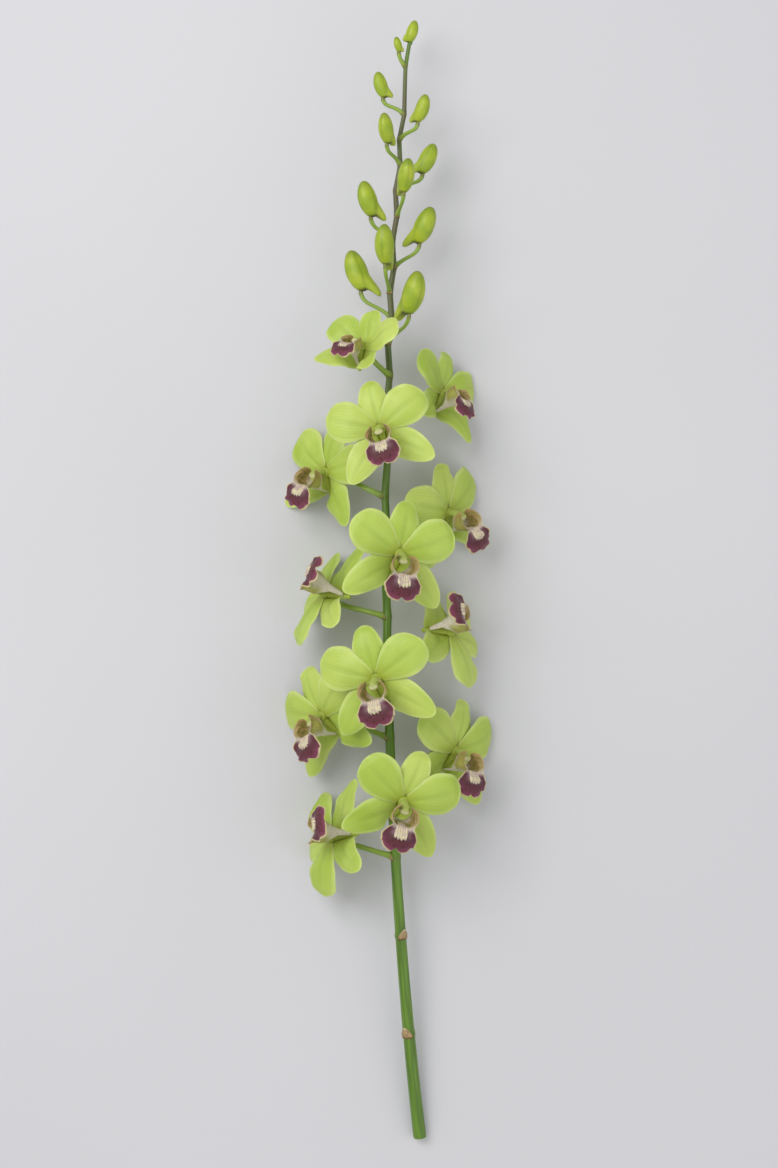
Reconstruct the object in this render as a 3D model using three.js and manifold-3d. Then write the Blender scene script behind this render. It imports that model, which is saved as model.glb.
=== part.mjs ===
import * as THREE from 'three';
import { mergeVertices } from 'three/addons/utils/BufferGeometryUtils.js';
import Module from 'manifold-3d';

// A cut flower stem lying on a surface: one arching green stem, blooms with
// maroon lips on curved stalks, and a tail of buds that get smaller towards
// the tip. Millimetres, +Z up, the stem along +Y from cut end to tip.

const wasm = await Module();
wasm.setup();

// Stem: the corners of one smooth curve, and its radii
const CUT_END = new THREE.Vector3(12, -300, 3.47);
const LOWER_PULL = new THREE.Vector3(-8, -130, 27);
const UPPER_PULL = new THREE.Vector3(-14, 90, 32);
const STEM_TIP = new THREE.Vector3(6, 288, 27);
const CUT_RADIUS = 3.5;
const FIRST_BLOOM_RADIUS = 2.7;
const FIRST_BUD_RADIUS = 1.7;
const TIP_RADIUS = 1.05;
const STEM_SIDES = 8;
const STEM_ROWS = 26;

// Stations along the stem, measured from the cut end
const FIRST_BLOOM_AT = 155;
const BLOOM_SPACING = 21.5;
const FIRST_BUD_AT = 430;
const BUD_SPACING = 13.6;
const BARE_NODES_AT = [58, 112];
const BARE_NODE_SIDES = [-30, 35];

// Stalks: they leave the stem leaning towards the tip, and turn in behind
// their flower, where they swell
const BLOOM_STALK = { radius: 1.4, endRadius: 1.8, lean: 0.35, turnIn: 0.4 };
const BUD_STALK = { radius: 0.95, endRadius: 1.15, lean: 0.9, turnIn: 0.36 };
const STALK_LEAVE = 0.55;
const STALK_SWELL_FROM = 0.6;
const STALK_SIDES = 5;
const STALK_ROWS = 4;
const STALK_OFFSET = 1.2;
const JOINT_GAP = 0.5;
const BUD_JOINT_GAP = 0.38;

// Scales that clasp the stem under each stalk
const SCALE_LENGTH = 5;
const SCALE_WIDTH = 3.4;
const SCALE_THICKNESS = 1.2;
const SCALE_TILT = 14;
const SCALE_SIDES = 5;
const SCALE_SEAT = 0.18;
const SCALE_SETBACK = 0.1;
const TIP_SCALE_SIZE = 0.5;

// Tepals: the sepals stand behind the petals
const BLADE = 0.85;
const DORSAL = { length: 27.5, half: 9, base: 4.2, tip: 2, peak: 0.54, full: 0.7,
  angle: 90, start: 1.5, level: -0.9, arch: 2.4, droop: 4.2, camber: -1.8 };
const PETAL = { length: 31, half: 12.4, base: 2.8, tip: 3, peak: 0.6, full: 0.7,
  angle: 28, start: 1.8, level: 0.5, arch: 2.8, droop: 4.6, camber: -2.2 };
const SEPAL_TOP = new THREE.Vector3(2.2, -0.5, -1.4);
const SPUR_TIP = new THREE.Vector3(0.9, -13, -9);
const SEPAL_PULL = new THREE.Vector3(11, -9, 3);
const SEPAL_TIP = new THREE.Vector3(27, -26, 2);
const SEPAL_HALF = 9.6;
const SEPAL_WIDEST = 0.42;
const SEPAL_END = 1.8;
const SEPAL_CAMBER = -1.4;
const SEPAL_TURNED_AT = 0.5;
const SEPAL_TAPER = 0.62;
const SEPAL_DROOP = 2.6;
const BASE_FADE = 2;
const BASE_SHARE = 0.2;
const TIP_FADE = 8;
const ARCH_SPAN = 0.8;
const EDGE_WAVE = 0.9;
const EDGE_WAVES = 1.25;
const TEPAL_ROWS = 4;
const TEPAL_COLUMNS = 3;

// Heart of the bloom: the hub, the column and its foot
const HUB_RADIUS = 3.3;
const HUB_BACK = 2.4;
const COLUMN_TIP = new THREE.Vector3(0, -2.6, 10);
const COLUMN_RADIUS = 2.7;
const COLUMN_ROOT_RADIUS = 2.2;
const FOOT_RADIUS = 1.5;
const FOOT_END_RADIUS = 0.9;
const HUB_SIDES = 6;
const HUB_ROWS = 4;
const COLUMN_SIDES = 6;
const FOOT_SIDES = 4;

// Lip: its midline in the plane of symmetry, then its half widths and its roll
const LIP_LINE = [[-11.7, -5.7], [-10.9, 0], [-10.2, 7], [-9.5, 13], [-9.6, 17.4], [-13, 20.6],
  [-18.5, 21.6], [-23.6, 19.8]];
const LIP_SHAPE = [
  { at: 0, half: 1, roll: 20 },
  { at: 0.22, half: 2.4, roll: 50 },
  { at: 0.32, half: 6.4, roll: 84 },
  { at: 0.38, half: 13.8, roll: 106 },
  { at: 0.46, half: 17.4, roll: 116 },
  { at: 0.545, half: 15.2, roll: 108 },
  { at: 0.61, half: 6, roll: 60 },
  { at: 0.7, half: 7.4, roll: 8 },
  { at: 0.81, half: 9.6, roll: -22 },
  { at: 0.93, half: 7.6, roll: -24 },
  { at: 1, half: 2.8, roll: -10 },
];
const LIP_COLUMNS = 6;
const LEAST_ROLL = 0.02;

// Blooms from the lowest up. Side is the turn round the stem, from straight up
// to the right, at which the bloom stands, and face the turn it looks towards.
// Reach is its distance from the stem, nod its lean towards the tip and roll
// its turn about its own axis, in millimetres and degrees. A bloom that rests
// is set down until its lowest petal touches the surface.
const BLOOMS = [
  { side: -84, face: -56, reach: 34, nod: 18, roll: 114, size: 0.94, open: 1, rests: true },
  { side: 10, face: 8, reach: 33, nod: -12, roll: -22, size: 0.94, open: 1, rests: false },
  { side: 84, face: 40, reach: 35, nod: -6, roll: -16, size: 0.94, open: 1, rests: true },
  { side: -84, face: -44, reach: 36, nod: -4, roll: 24, size: 0.96, open: 1, rests: true },
  { side: -10, face: -12, reach: 35, nod: -6, roll: 12, size: 0.96, open: 1, rests: false },
  { side: 84, face: 54, reach: 34, nod: 24, roll: -116, size: 0.94, open: 1, rests: true },
  { side: -84, face: -64, reach: 33, nod: 32, roll: 106, size: 0.92, open: 1, rests: true },
  { side: 12, face: 14, reach: 34, nod: -8, roll: -10, size: 0.94, open: 1, rests: false },
  { side: 82, face: 46, reach: 34, nod: -2, roll: 16, size: 0.91, open: 1, rests: true },
  { side: -82, face: -42, reach: 33, nod: 2, roll: -14, size: 0.89, open: 1, rests: true },
  { side: -6, face: -8, reach: 34, nod: 2, roll: 18, size: 0.88, open: 0.95, rests: false },
  { side: 80, face: 52, reach: 30, nod: 14, roll: -20, size: 0.83, open: 0.86, rests: true },
  { side: -34, face: -30, reach: 25, nod: 34, roll: -8, size: 0.75, open: 0.72, rests: false },
];
const BLOOM_ADVANCE = 13;

// A half-open bloom: its tepals swing forward from their bases, round a lip
// that is still smaller
const CLOSED_LIP_SIZE = 0.75;
const CLOSED_LIFT = 78;
const LIFT_FROM = 0;
const LIFT_TO = 0.7;
const LIFT_AIM = 0.6;

// Buds from the lowest up, the lowest the fullest. The last two stand at the
// tip, past a bare stretch, and the one beside the tip lags behind the others.
const BUD_COUNT = 12;
const TIP_BUDS = 2;
const TIP_BUD_GAP = 12;
const BUD_SIDE_STEP = 137;
const BUD_SIDE_START = 62;
const BUD_SIDE_LIMIT = 105;
const FIRST_BUD = { length: 24, width: 12.6, reach: 17, advance: 14, spur: 4.6, drop: 9 };
const LAST_BUD = { length: 12.5, width: 6.2, reach: 10, advance: 6, spur: 1.4, drop: 1 };
const LATE_BUD = 0.62;
const TIP_BUD_REACH = 0.6;
const LATE_BUD_REACH = 5.6;
const LATE_BUD_SIDE = -66;
const BUD_LEAN = 74;
const TIP_BUD_LEAN = 84;
const BUD_FULLNESS = 0.46;
const BUD_BELLY = 0.95;
const BUD_FLATNESS = 0.9;
const BUD_OFFSET = 0.16;
const SPUR_AT = 0.2;
const SPUR_SPREAD = 0.11;
const SPUR_BROAD = 0.4;
const BUD_SIDES = 8;
const BUD_ROWS = 7;

// Colours
const GREEN_STEM = new THREE.MeshStandardMaterial({ color: 0x5c9128, roughness: 0.5, metalness: 0 });
const LIME_TEPAL = new THREE.MeshStandardMaterial({ color: 0xb8d15f, roughness: 0.55, metalness: 0 });
const MAROON_LIP = new THREE.MeshStandardMaterial({ color: 0x7c3550, roughness: 0.6, metalness: 0 });
const GREEN_BUD = new THREE.MeshStandardMaterial({ color: 0xa9c43e, roughness: 0.5, metalness: 0 });

const UP = new THREE.Vector3(0, 0, 1);
const radians = THREE.MathUtils.degToRad;
const mix = THREE.MathUtils.lerp;
const smooth = THREE.MathUtils.smoothstep;

// A repeatable draw between -1 and 1 for piece i and purpose k
function draw(i, k) {
  const s = Math.sin(i * 12.9898 + k * 78.233) * 43758.5453;
  return 2 * (s - Math.floor(s)) - 1;
}

function toSolid(geometry) {
  const bare = geometry.clone();
  bare.deleteAttribute('normal');
  bare.deleteAttribute('uv');
  const merged = mergeVertices(bare, 1e-4);
  return new wasm.Manifold(new wasm.Mesh({
    numProp: 3,
    vertProperties: new Float32Array(merged.attributes.position.array),
    triVerts: new Uint32Array(merged.index.array),
  }));
}

function toGeometry(solid) {
  const mesh = solid.getMesh();
  const geometry = new THREE.BufferGeometry();
  geometry.setAttribute('position', new THREE.BufferAttribute(new Float32Array(mesh.vertProperties), 3));
  geometry.setIndex(new THREE.BufferAttribute(new Uint32Array(mesh.triVerts), 1));
  geometry.computeVertexNormals();
  return geometry;
}

function fuse(geometries) {
  const whole = geometries.map(toSolid).reduce((a, b) => a.add(b));
  return toGeometry(whole);
}

function fromRings(rings) {
  // Closed skin over rings of equal count, each end capped by a fan from its middle
  const count = rings[0].length;
  const points = rings.flat();
  const index = [];
  for (let row = 0; row < rings.length - 1; row += 1) {
    for (let k = 0; k < count; k += 1) {
      const a = row * count + k;
      const b = row * count + ((k + 1) % count);
      index.push(a, b, a + count, b, b + count, a + count);
    }
  }
  const middle = (ring) => ring.reduce((sum, p) => sum.add(p), new THREE.Vector3()).divideScalar(count);
  const first = points.push(middle(rings[0])) - 1;
  const last = points.push(middle(rings[rings.length - 1])) - 1;
  const start = (rings.length - 1) * count;
  for (let k = 0; k < count; k += 1) {
    const next = (k + 1) % count;
    index.push(first, next, k);
    index.push(last, start + k, start + next);
  }
  return new THREE.BufferGeometry().setFromPoints(points).setIndex(index);
}

function taperedTube(curve, radiusAt, rows, sides) {
  const frames = curve.computeFrenetFrames(rows, false);
  const rings = [];
  for (let row = 0; row <= rows; row += 1) {
    const centre = curve.getPointAt(row / rows);
    const radius = radiusAt(row / rows);
    const ring = [];
    for (let k = 0; k < sides; k += 1) {
      const turn = (2 * Math.PI * k) / sides;
      ring.push(centre.clone()
        .addScaledVector(frames.normals[row], radius * Math.cos(turn))
        .addScaledVector(frames.binormals[row], radius * Math.sin(turn)));
    }
    rings.push(ring);
  }
  return fromRings(rings);
}

function blade(surface, rowsAt, columns, thickness) {
  // A thin plate round a curved sheet, its two faces split into like triangles
  const rows = rowsAt.length - 1;
  const front = [];
  const back = [];
  const step = 1e-3;
  for (const v of rowsAt) {
    for (let k = 0; k <= columns; k += 1) {
      const u = (2 * k) / columns - 1;
      const p = surface(u, v);
      const across = surface(u + step, v).sub(surface(u - step, v));
      const along = surface(u, Math.min(v + step, 1)).sub(surface(u, Math.max(v - step, 0)));
      const normal = across.cross(along).normalize();
      front.push(p.clone().addScaledVector(normal, thickness / 2));
      back.push(p.clone().addScaledVector(normal, -thickness / 2));
    }
  }
  const points = [...front, ...back];
  const behind = front.length;
  const at = (row, k) => row * (columns + 1) + k;
  const index = [];
  for (let row = 0; row < rows; row += 1) {
    for (let k = 0; k < columns; k += 1) {
      const [a, b, c, d] = [at(row, k), at(row, k + 1), at(row + 1, k + 1), at(row + 1, k)];
      index.push(a, b, c, a, c, d);
      index.push(behind + a, behind + c, behind + b, behind + a, behind + d, behind + c);
    }
  }
  const wall = (a, b) => index.push(a, behind + b, b, a, behind + a, behind + b);
  for (let k = 0; k < columns; k += 1) {
    wall(at(0, k), at(0, k + 1));
    wall(at(rows, k + 1), at(rows, k));
  }
  for (let row = 0; row < rows; row += 1) {
    wall(at(row + 1, 0), at(row, 0));
    wall(at(row, columns), at(row + 1, columns));
  }
  return new THREE.BufferGeometry().setFromPoints(points).setIndex(index);
}

// Rows crowd towards the tip, where the outline turns fastest
function crowdedRows(count) {
  return Array.from({ length: count + 1 }, (_, j) => Math.sin((Math.PI / 2) * (j / count)));
}

// The gentle wave of a tepal's edge, which grows towards its tip
function edgeWave(u, v, wave) {
  return EDGE_WAVE * Math.abs(u) ** 3 * v * Math.sin(2 * Math.PI * (EDGE_WAVES * v + wave) + u);
}

function spreadTepal(shape, mirror, wave) {
  // A dorsal sepal or a petal, spreading from the hub in its own direction
  const out = new THREE.Vector3(Math.cos(radians(shape.angle)) * mirror, Math.sin(radians(shape.angle)), 0);
  const across = new THREE.Vector3(out.y, -out.x, 0).multiplyScalar(-1);
  const power = Math.log(0.5) / Math.log(shape.peak);
  return (u, v) => {
    const belly = Math.max(0, Math.sin(Math.PI * v ** power)) ** shape.full;
    const half = shape.base * (1 - v) ** BASE_FADE + (shape.half - shape.base * BASE_SHARE) * belly
      + shape.tip * v ** TIP_FADE;
    const height = shape.level + shape.arch * Math.sin(Math.PI * ARCH_SPAN * v) - shape.droop * v * v
      + shape.camber * u * u * belly + edgeWave(u, v, wave);
    return out.clone().multiplyScalar(shape.start + shape.length * v)
      .addScaledVector(across, u * half)
      .addScaledVector(UP, height);
  };
}

function lateralSepal(mirror, wave) {
  // One of the two lower sepals, whose broad base runs down the foot to the spur
  const flip = new THREE.Vector3(mirror, 1, 1);
  const top = SEPAL_TOP.clone().multiply(flip);
  const low = SPUR_TIP.clone().multiply(flip);
  const root = top.clone().add(low).multiplyScalar(0.5);
  const tip = SEPAL_TIP.clone().multiply(flip);
  const line = new THREE.QuadraticBezierCurve3(root, SEPAL_PULL.clone().multiply(flip), tip);
  const rootSide = top.clone().sub(low).multiplyScalar(0.5);
  const run = tip.clone().sub(root).setZ(0).normalize();
  const tipSide = new THREE.Vector3(-run.y * mirror, run.x * mirror, 0);
  return (u, v) => {
    const turn = smooth(v, 0, SEPAL_TURNED_AT);
    const side = rootSide.clone().normalize().lerp(tipSide, turn).normalize();
    const past = Math.max(0, (v - SEPAL_WIDEST) / (1 - SEPAL_WIDEST));
    const taper = Math.max(0, 1 - past * past) ** SEPAL_TAPER;
    const half = mix(rootSide.length(), SEPAL_HALF, smooth(v, 0, SEPAL_WIDEST)) * taper
      + SEPAL_END * v ** TIP_FADE;
    const height = SEPAL_CAMBER * u * u * turn - SEPAL_DROOP * v ** 3 + edgeWave(u, v, wave);
    return line.getPoint(v).addScaledVector(side, u * half * mirror).addScaledVector(UP, height);
  };
}

// Swings a sheet forward about its own base as the bloom closes
function closing(surface, openness) {
  const lift = radians(CLOSED_LIFT * (1 - openness));
  if (lift === 0) return surface;
  const base = surface(0, 0);
  const out = surface(0, LIFT_AIM).sub(base).setZ(0).normalize();
  const axis = out.clone().cross(UP).normalize();
  return (u, v) => {
    const p = surface(u, v).sub(base);
    p.applyAxisAngle(axis, lift * smooth(v, LIFT_FROM, LIFT_TO));
    return p.add(base);
  };
}

function bloomGeometry(number, openness) {
  const rows = crowdedRows(TEPAL_ROWS);
  const surfaces = [
    spreadTepal(DORSAL, 1, draw(number, 1)),
    spreadTepal(PETAL, 1, draw(number, 2)),
    spreadTepal(PETAL, -1, draw(number, 3)),
    lateralSepal(1, draw(number, 4)),
    lateralSepal(-1, draw(number, 5)),
  ];
  const tepals = surfaces.map((sheet) => blade(closing(sheet, openness), rows, TEPAL_COLUMNS, BLADE));
  const hub = new THREE.SphereGeometry(HUB_RADIUS, HUB_SIDES, HUB_ROWS).scale(1, 1, HUB_BACK / HUB_RADIUS);
  const columnLine = new THREE.LineCurve3(new THREE.Vector3(), COLUMN_TIP);
  const column = taperedTube(columnLine, (t) => mix(COLUMN_ROOT_RADIUS, COLUMN_RADIUS, t), 1, COLUMN_SIDES);
  const footLine = new THREE.LineCurve3(new THREE.Vector3(), SPUR_TIP.clone().setX(0));
  const foot = taperedTube(footLine, (t) => mix(FOOT_RADIUS, FOOT_END_RADIUS, t), 1, FOOT_SIDES);
  return fuse([hub, column, foot, ...tepals]);
}

function lipGeometry(size) {
  const line = new THREE.CatmullRomCurve3(LIP_LINE.map(([y, z]) => new THREE.Vector3(0, y, z)));
  const read = (v, key) => {
    const next = Math.max(1, LIP_SHAPE.findIndex((row) => row.at >= v));
    const [a, b] = [LIP_SHAPE[next - 1], LIP_SHAPE[next]];
    return mix(a[key], b[key], (v - a.at) / (b.at - a.at));
  };
  const surface = (u, v) => {
    const centre = line.getPointAt(v);
    const along = line.getTangentAt(v);
    const rise = new THREE.Vector3(0, along.z, -along.y);
    const roll = radians(read(v, 'roll'));
    const half = read(v, 'half');
    const bend = Math.abs(roll) < LEAST_ROLL ? LEAST_ROLL : roll;
    const radius = half / bend;
    return centre
      .add(new THREE.Vector3(-radius * Math.sin(u * bend), 0, 0))
      .addScaledVector(rise, radius * (1 - Math.cos(u * bend)));
  };
  const root = surface(0, 0);
  const sized = (u, v) => surface(u, v).sub(root).multiplyScalar(size).add(root);
  return blade(sized, LIP_SHAPE.map((row) => row.at), LIP_COLUMNS, BLADE);
}

function budGeometry({ length, width, spur, drop }) {
  // A boot: an upright oval on its stalk, with a blunt heel drawn out and down at one side of its foot
  const rings = [];
  for (let row = 1; row < BUD_ROWS; row += 1) {
    const v = 0.5 - 0.5 * Math.cos((Math.PI * row) / BUD_ROWS);
    const ring = [];
    for (let k = 0; k < BUD_SIDES; k += 1) {
      const turn = (2 * Math.PI * k) / BUD_SIDES;
      const radius = (width / 2) * Math.sin(Math.PI * v ** BUD_BELLY) ** BUD_FULLNESS;
      const nearSpur = Math.exp(-(((v - SPUR_AT) / SPUR_SPREAD) ** 4));
      const heel = nearSpur * smooth(-Math.sin(turn), SPUR_BROAD, 0.95);
      ring.push(new THREE.Vector3(
        radius * Math.cos(turn) * BUD_FLATNESS,
        radius * Math.sin(turn) - spur * heel - width * BUD_OFFSET * (1 - v) ** 2,
        length * v - drop * heel,
      ));
    }
    rings.push(ring);
  }
  const geometry = fromRings(rings);
  const points = geometry.attributes.position;
  points.setXYZ(points.count - 2, 0, 0, 0);
  points.setXYZ(points.count - 1, 0, 0, length);
  return geometry;
}

const stemLine = new THREE.CubicBezierCurve3(CUT_END, LOWER_PULL, UPPER_PULL, STEM_TIP);
stemLine.arcLengthDivisions = 600;
const STEM_LENGTH = stemLine.getLength();

// The stem's own directions at a station: along it, to its right and straight up from it
function stationAt(at) {
  const t = at / STEM_LENGTH;
  const point = stemLine.getPointAt(t);
  const along = stemLine.getTangentAt(t);
  const right = along.clone().cross(UP).normalize();
  const up = right.clone().cross(along).normalize();
  return { point, along, right, up };
}

function stemRadius(at) {
  if (at < FIRST_BLOOM_AT) return mix(CUT_RADIUS, FIRST_BLOOM_RADIUS, at / FIRST_BLOOM_AT);
  if (at < FIRST_BUD_AT) {
    const t = (at - FIRST_BLOOM_AT) / (FIRST_BUD_AT - FIRST_BLOOM_AT);
    return mix(FIRST_BLOOM_RADIUS, FIRST_BUD_RADIUS, t);
  }
  return mix(FIRST_BUD_RADIUS, TIP_RADIUS, (at - FIRST_BUD_AT) / (STEM_LENGTH - FIRST_BUD_AT));
}

function budStation(i) {
  const fromTip = BUD_COUNT - 1 - i;
  if (fromTip < TIP_BUDS) return STEM_LENGTH - TIP_BUD_GAP * fromTip;
  return FIRST_BUD_AT + BUD_SPACING * i;
}

function budSize(i) {
  const t = i / (BUD_COUNT - 1);
  const late = i === BUD_COUNT - TIP_BUDS ? LATE_BUD : 1;
  return {
    length: mix(FIRST_BUD.length, LAST_BUD.length, t) * late,
    width: mix(FIRST_BUD.width, LAST_BUD.width, t) * late,
    spur: mix(FIRST_BUD.spur, LAST_BUD.spur, t) * late,
    drop: mix(FIRST_BUD.drop, LAST_BUD.drop, t) * late,
  };
}

function budReach(i) {
  if (i === BUD_COUNT - 1) return TIP_BUD_REACH;
  if (i === BUD_COUNT - TIP_BUDS) return LATE_BUD_REACH;
  return mix(FIRST_BUD.reach, LAST_BUD.reach, i / (BUD_COUNT - 1));
}

function budAdvance(i) {
  if (i === BUD_COUNT - 1) return TIP_BUD_REACH;
  return mix(FIRST_BUD.advance, LAST_BUD.advance, i / (BUD_COUNT - 1));
}

function roundStem(turn, station) {
  return station.up.clone().multiplyScalar(Math.cos(radians(turn)))
    .addScaledVector(station.right, Math.sin(radians(turn)));
}

function frameFor({ side, face, nod, roll }, station) {
  // Facing direction and dorsal direction of a bloom, from its turns, lean and roll
  const outward = roundStem(side, station);
  const facing = roundStem(face, station).multiplyScalar(Math.cos(radians(nod)))
    .addScaledVector(station.along, Math.sin(radians(nod)));
  const dorsal = station.along.clone().addScaledVector(facing, -station.along.dot(facing)).normalize();
  dorsal.applyAxisAngle(facing, radians(roll));
  const right = dorsal.clone().cross(facing);
  const turn = new THREE.Matrix4().makeBasis(right, dorsal, facing);
  return { outward, facing, dorsal, turn };
}

function lowest(geometry, matrix) {
  const placed = geometry.clone().applyMatrix4(matrix);
  placed.computeBoundingBox();
  return placed.boundingBox.min.z;
}

function stalk(station, outward, end, facing, { radius, endRadius, lean, turnIn }) {
  // A stalk that leaves the stem leaning towards the tip and turns in behind its flower
  const reach = end.distanceTo(station.point);
  const leaving = outward.clone().addScaledVector(station.along, lean).normalize();
  const line = new THREE.CubicBezierCurve3(
    station.point,
    station.point.clone().addScaledVector(leaving, reach * STALK_LEAVE),
    end.clone().addScaledVector(facing, -reach * turnIn),
    end,
  );
  const radiusAt = (t) => mix(radius, endRadius, smooth(t, STALK_SWELL_FROM, 1));
  return taperedTube(line, radiusAt, STALK_ROWS, STALK_SIDES);
}

function scale(station, outward, at) {
  const size = mix(1, TIP_SCALE_SIZE, at / STEM_LENGTH);
  const length = SCALE_LENGTH * size;
  const cone = new THREE.ConeGeometry((SCALE_WIDTH / 2) * size, length, SCALE_SIDES);
  cone.scale(1, 1, SCALE_THICKNESS / SCALE_WIDTH);
  cone.rotateX(radians(-SCALE_TILT));
  const side = station.along.clone().cross(outward);
  const turn = new THREE.Matrix4().makeBasis(side, station.along, outward);
  turn.setPosition(station.point.clone()
    .addScaledVector(outward, stemRadius(at) + SCALE_SEAT)
    .addScaledVector(station.along, -length * SCALE_SETBACK));
  return cone.applyMatrix4(turn);
}

function pieceMesh(name, geometry, material, matrix) {
  const mesh = new THREE.Mesh(geometry, material);
  mesh.name = name;
  mesh.applyMatrix4(matrix);
  return mesh;
}

const label = (stem, number) => `${stem}_${String(number).padStart(2, '0')}`;
const flower = new THREE.Group();
const stemParts = [];

// Blooms and their lips
BLOOMS.forEach((bloom, i) => {
  const at = FIRST_BLOOM_AT + BLOOM_SPACING * i;
  const station = stationAt(at);
  const { outward, facing, dorsal, turn } = frameFor(bloom, station);
  const geometry = bloomGeometry(i, bloom.open);
  const place = station.point.clone()
    .addScaledVector(outward, bloom.reach)
    .addScaledVector(station.along, BLOOM_ADVANCE);
  turn.scale(new THREE.Vector3(bloom.size, bloom.size, bloom.size));
  if (bloom.rests) place.z = -lowest(geometry, turn);
  turn.setPosition(place);
  const back = place.clone()
    .addScaledVector(facing, -(HUB_BACK * bloom.size + JOINT_GAP))
    .addScaledVector(dorsal, STALK_OFFSET);
  flower.add(pieceMesh(label('bloom', i + 1), geometry, LIME_TEPAL, turn));
  const lip = lipGeometry(mix(CLOSED_LIP_SIZE, 1, bloom.open));
  flower.add(pieceMesh(label('lip', i + 1), lip, MAROON_LIP, turn));
  stemParts.push(stalk(station, outward, back, facing, BLOOM_STALK));
  stemParts.push(scale(station, outward, at));
});

// Buds
for (let i = 0; i < BUD_COUNT; i += 1) {
  const at = budStation(i);
  const station = stationAt(at);
  const atTip = i === BUD_COUNT - 1;
  const wound = ((BUD_SIDE_START + BUD_SIDE_STEP * i + 180) % 360) - 180;
  const side = i === BUD_COUNT - TIP_BUDS ? LATE_BUD_SIDE : (wound / 180) * BUD_SIDE_LIMIT;
  const nod = atTip ? TIP_BUD_LEAN : BUD_LEAN;
  const { outward, facing, turn } = frameFor({ side, face: side, nod, roll: 180 }, station);
  const place = station.point.clone()
    .addScaledVector(outward, budReach(i))
    .addScaledVector(station.along, budAdvance(i));
  turn.setPosition(place);
  flower.add(pieceMesh(label('bud', i + 1), budGeometry(budSize(i)), GREEN_BUD, turn));
  if (atTip) break;
  const back = place.clone().addScaledVector(facing, -BUD_JOINT_GAP);
  stemParts.push(stalk(station, outward, back, facing, BUD_STALK));
  stemParts.push(scale(station, outward, at));
}

BARE_NODES_AT.forEach((at, i) => {
  const station = stationAt(at);
  stemParts.push(scale(station, roundStem(BARE_NODE_SIDES[i], station), at));
});

stemParts.unshift(taperedTube(stemLine, (t) => stemRadius(t * STEM_LENGTH), STEM_ROWS, STEM_SIDES));
flower.add(pieceMesh('stem', fuse(stemParts), GREEN_STEM, new THREE.Matrix4()));

// The origin lies under the middle of the whole piece
flower.updateMatrixWorld(true);
const box = new THREE.Box3().setFromObject(flower, true);
const centre = box.getCenter(new THREE.Vector3());
const part = new THREE.Group();
flower.position.set(-centre.x, -centre.y, 0);
part.add(flower);

export default part;
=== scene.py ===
"""A cut orchid stem lying on a pale floor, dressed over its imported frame.

The tables hold millimetres and degrees. A bloom, lip or bud is first shaped
about its own heart, looking along +Z with its top towards +Y. It is then
turned and set down where the stem carries it, and MM makes the mesh metres.
"""

from __future__ import annotations

import logging
import math
from collections.abc import Callable, Sequence
from dataclasses import dataclass, field
from enum import Enum, IntEnum

import bmesh
import bpy
import numpy as np
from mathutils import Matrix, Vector


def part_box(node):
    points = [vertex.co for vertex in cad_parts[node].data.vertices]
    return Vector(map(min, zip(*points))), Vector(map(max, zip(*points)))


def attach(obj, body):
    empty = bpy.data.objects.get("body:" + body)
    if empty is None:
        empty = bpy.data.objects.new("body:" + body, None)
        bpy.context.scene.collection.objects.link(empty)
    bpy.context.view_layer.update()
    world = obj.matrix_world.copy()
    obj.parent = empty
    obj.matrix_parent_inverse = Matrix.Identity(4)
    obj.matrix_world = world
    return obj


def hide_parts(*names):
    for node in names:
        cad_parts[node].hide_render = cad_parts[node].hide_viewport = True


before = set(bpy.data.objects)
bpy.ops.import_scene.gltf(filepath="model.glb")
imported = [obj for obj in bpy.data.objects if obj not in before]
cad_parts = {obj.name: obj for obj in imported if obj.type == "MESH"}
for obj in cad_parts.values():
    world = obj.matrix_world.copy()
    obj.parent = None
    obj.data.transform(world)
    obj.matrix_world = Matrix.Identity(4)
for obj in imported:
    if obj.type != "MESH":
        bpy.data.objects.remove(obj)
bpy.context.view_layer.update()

log = logging.getLogger("orchid")

Array = np.ndarray
Number = float | Array
Pair = tuple[float, float]
Row = tuple[float, ...]
Place = tuple[float, float, float]
Colour = tuple[float, float, float]
Sheet = Callable[[Array, Array], Array]
Material = bpy.types.Material
Socket = bpy.types.NodeSocket
Wires = dict[str | int, object]

MM = 0.001
WELD = 2e-6
BODY = "root"
SOFT_FLOOR = 0.8
RIGHT = np.array([1.0, 0.0, 0.0])
UP = np.array([0.0, 0.0, 1.0])
LEVEL = np.array([1.0, 1.0, 0.0])


def mix(a: Number, b: Number, t: Number) -> Number:
    """The value a share t of the way from a to b."""
    return a + (b - a) * t


def smooth(x: Number, low: Number, high: Number) -> Number:
    """Rises from 0 at low to 1 at high, level at both ends."""
    t = np.clip((x - low) / (high - low), 0.0, 1.0)
    return t * t * (3.0 - 2.0 * t)


def window(x: Number, *corners: Number) -> Number:
    """Rises to 1 from the first corner to the second, and falls from the third to the fourth."""
    return smooth(x, *corners[:2]) * (1.0 - smooth(x, *corners[2:]))


def bell(x: Number, middle: float, width: float) -> Number:
    """A bell curve of height 1 about middle."""
    return np.exp(-(((x - middle) / width) ** 2))


def past(x: Array, start: float) -> Array:
    """How far x lies past a start, from 0 there to 1 where x is 1."""
    return np.clip((x - start) / (1.0 - start), 0.0, 1.0)


def fallen(x: Array, power: float) -> Array:
    """Falls from 1 at 0 to 0 at 1, ever steeper towards it, as a round end does."""
    return np.sqrt(np.maximum(0.0, 1.0 - x**power))


def unit(vectors: Array) -> Array:
    """The same directions with length 1."""
    length = np.linalg.norm(vectors, axis=-1, keepdims=True)
    return vectors / np.maximum(length, 1e-12)


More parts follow.
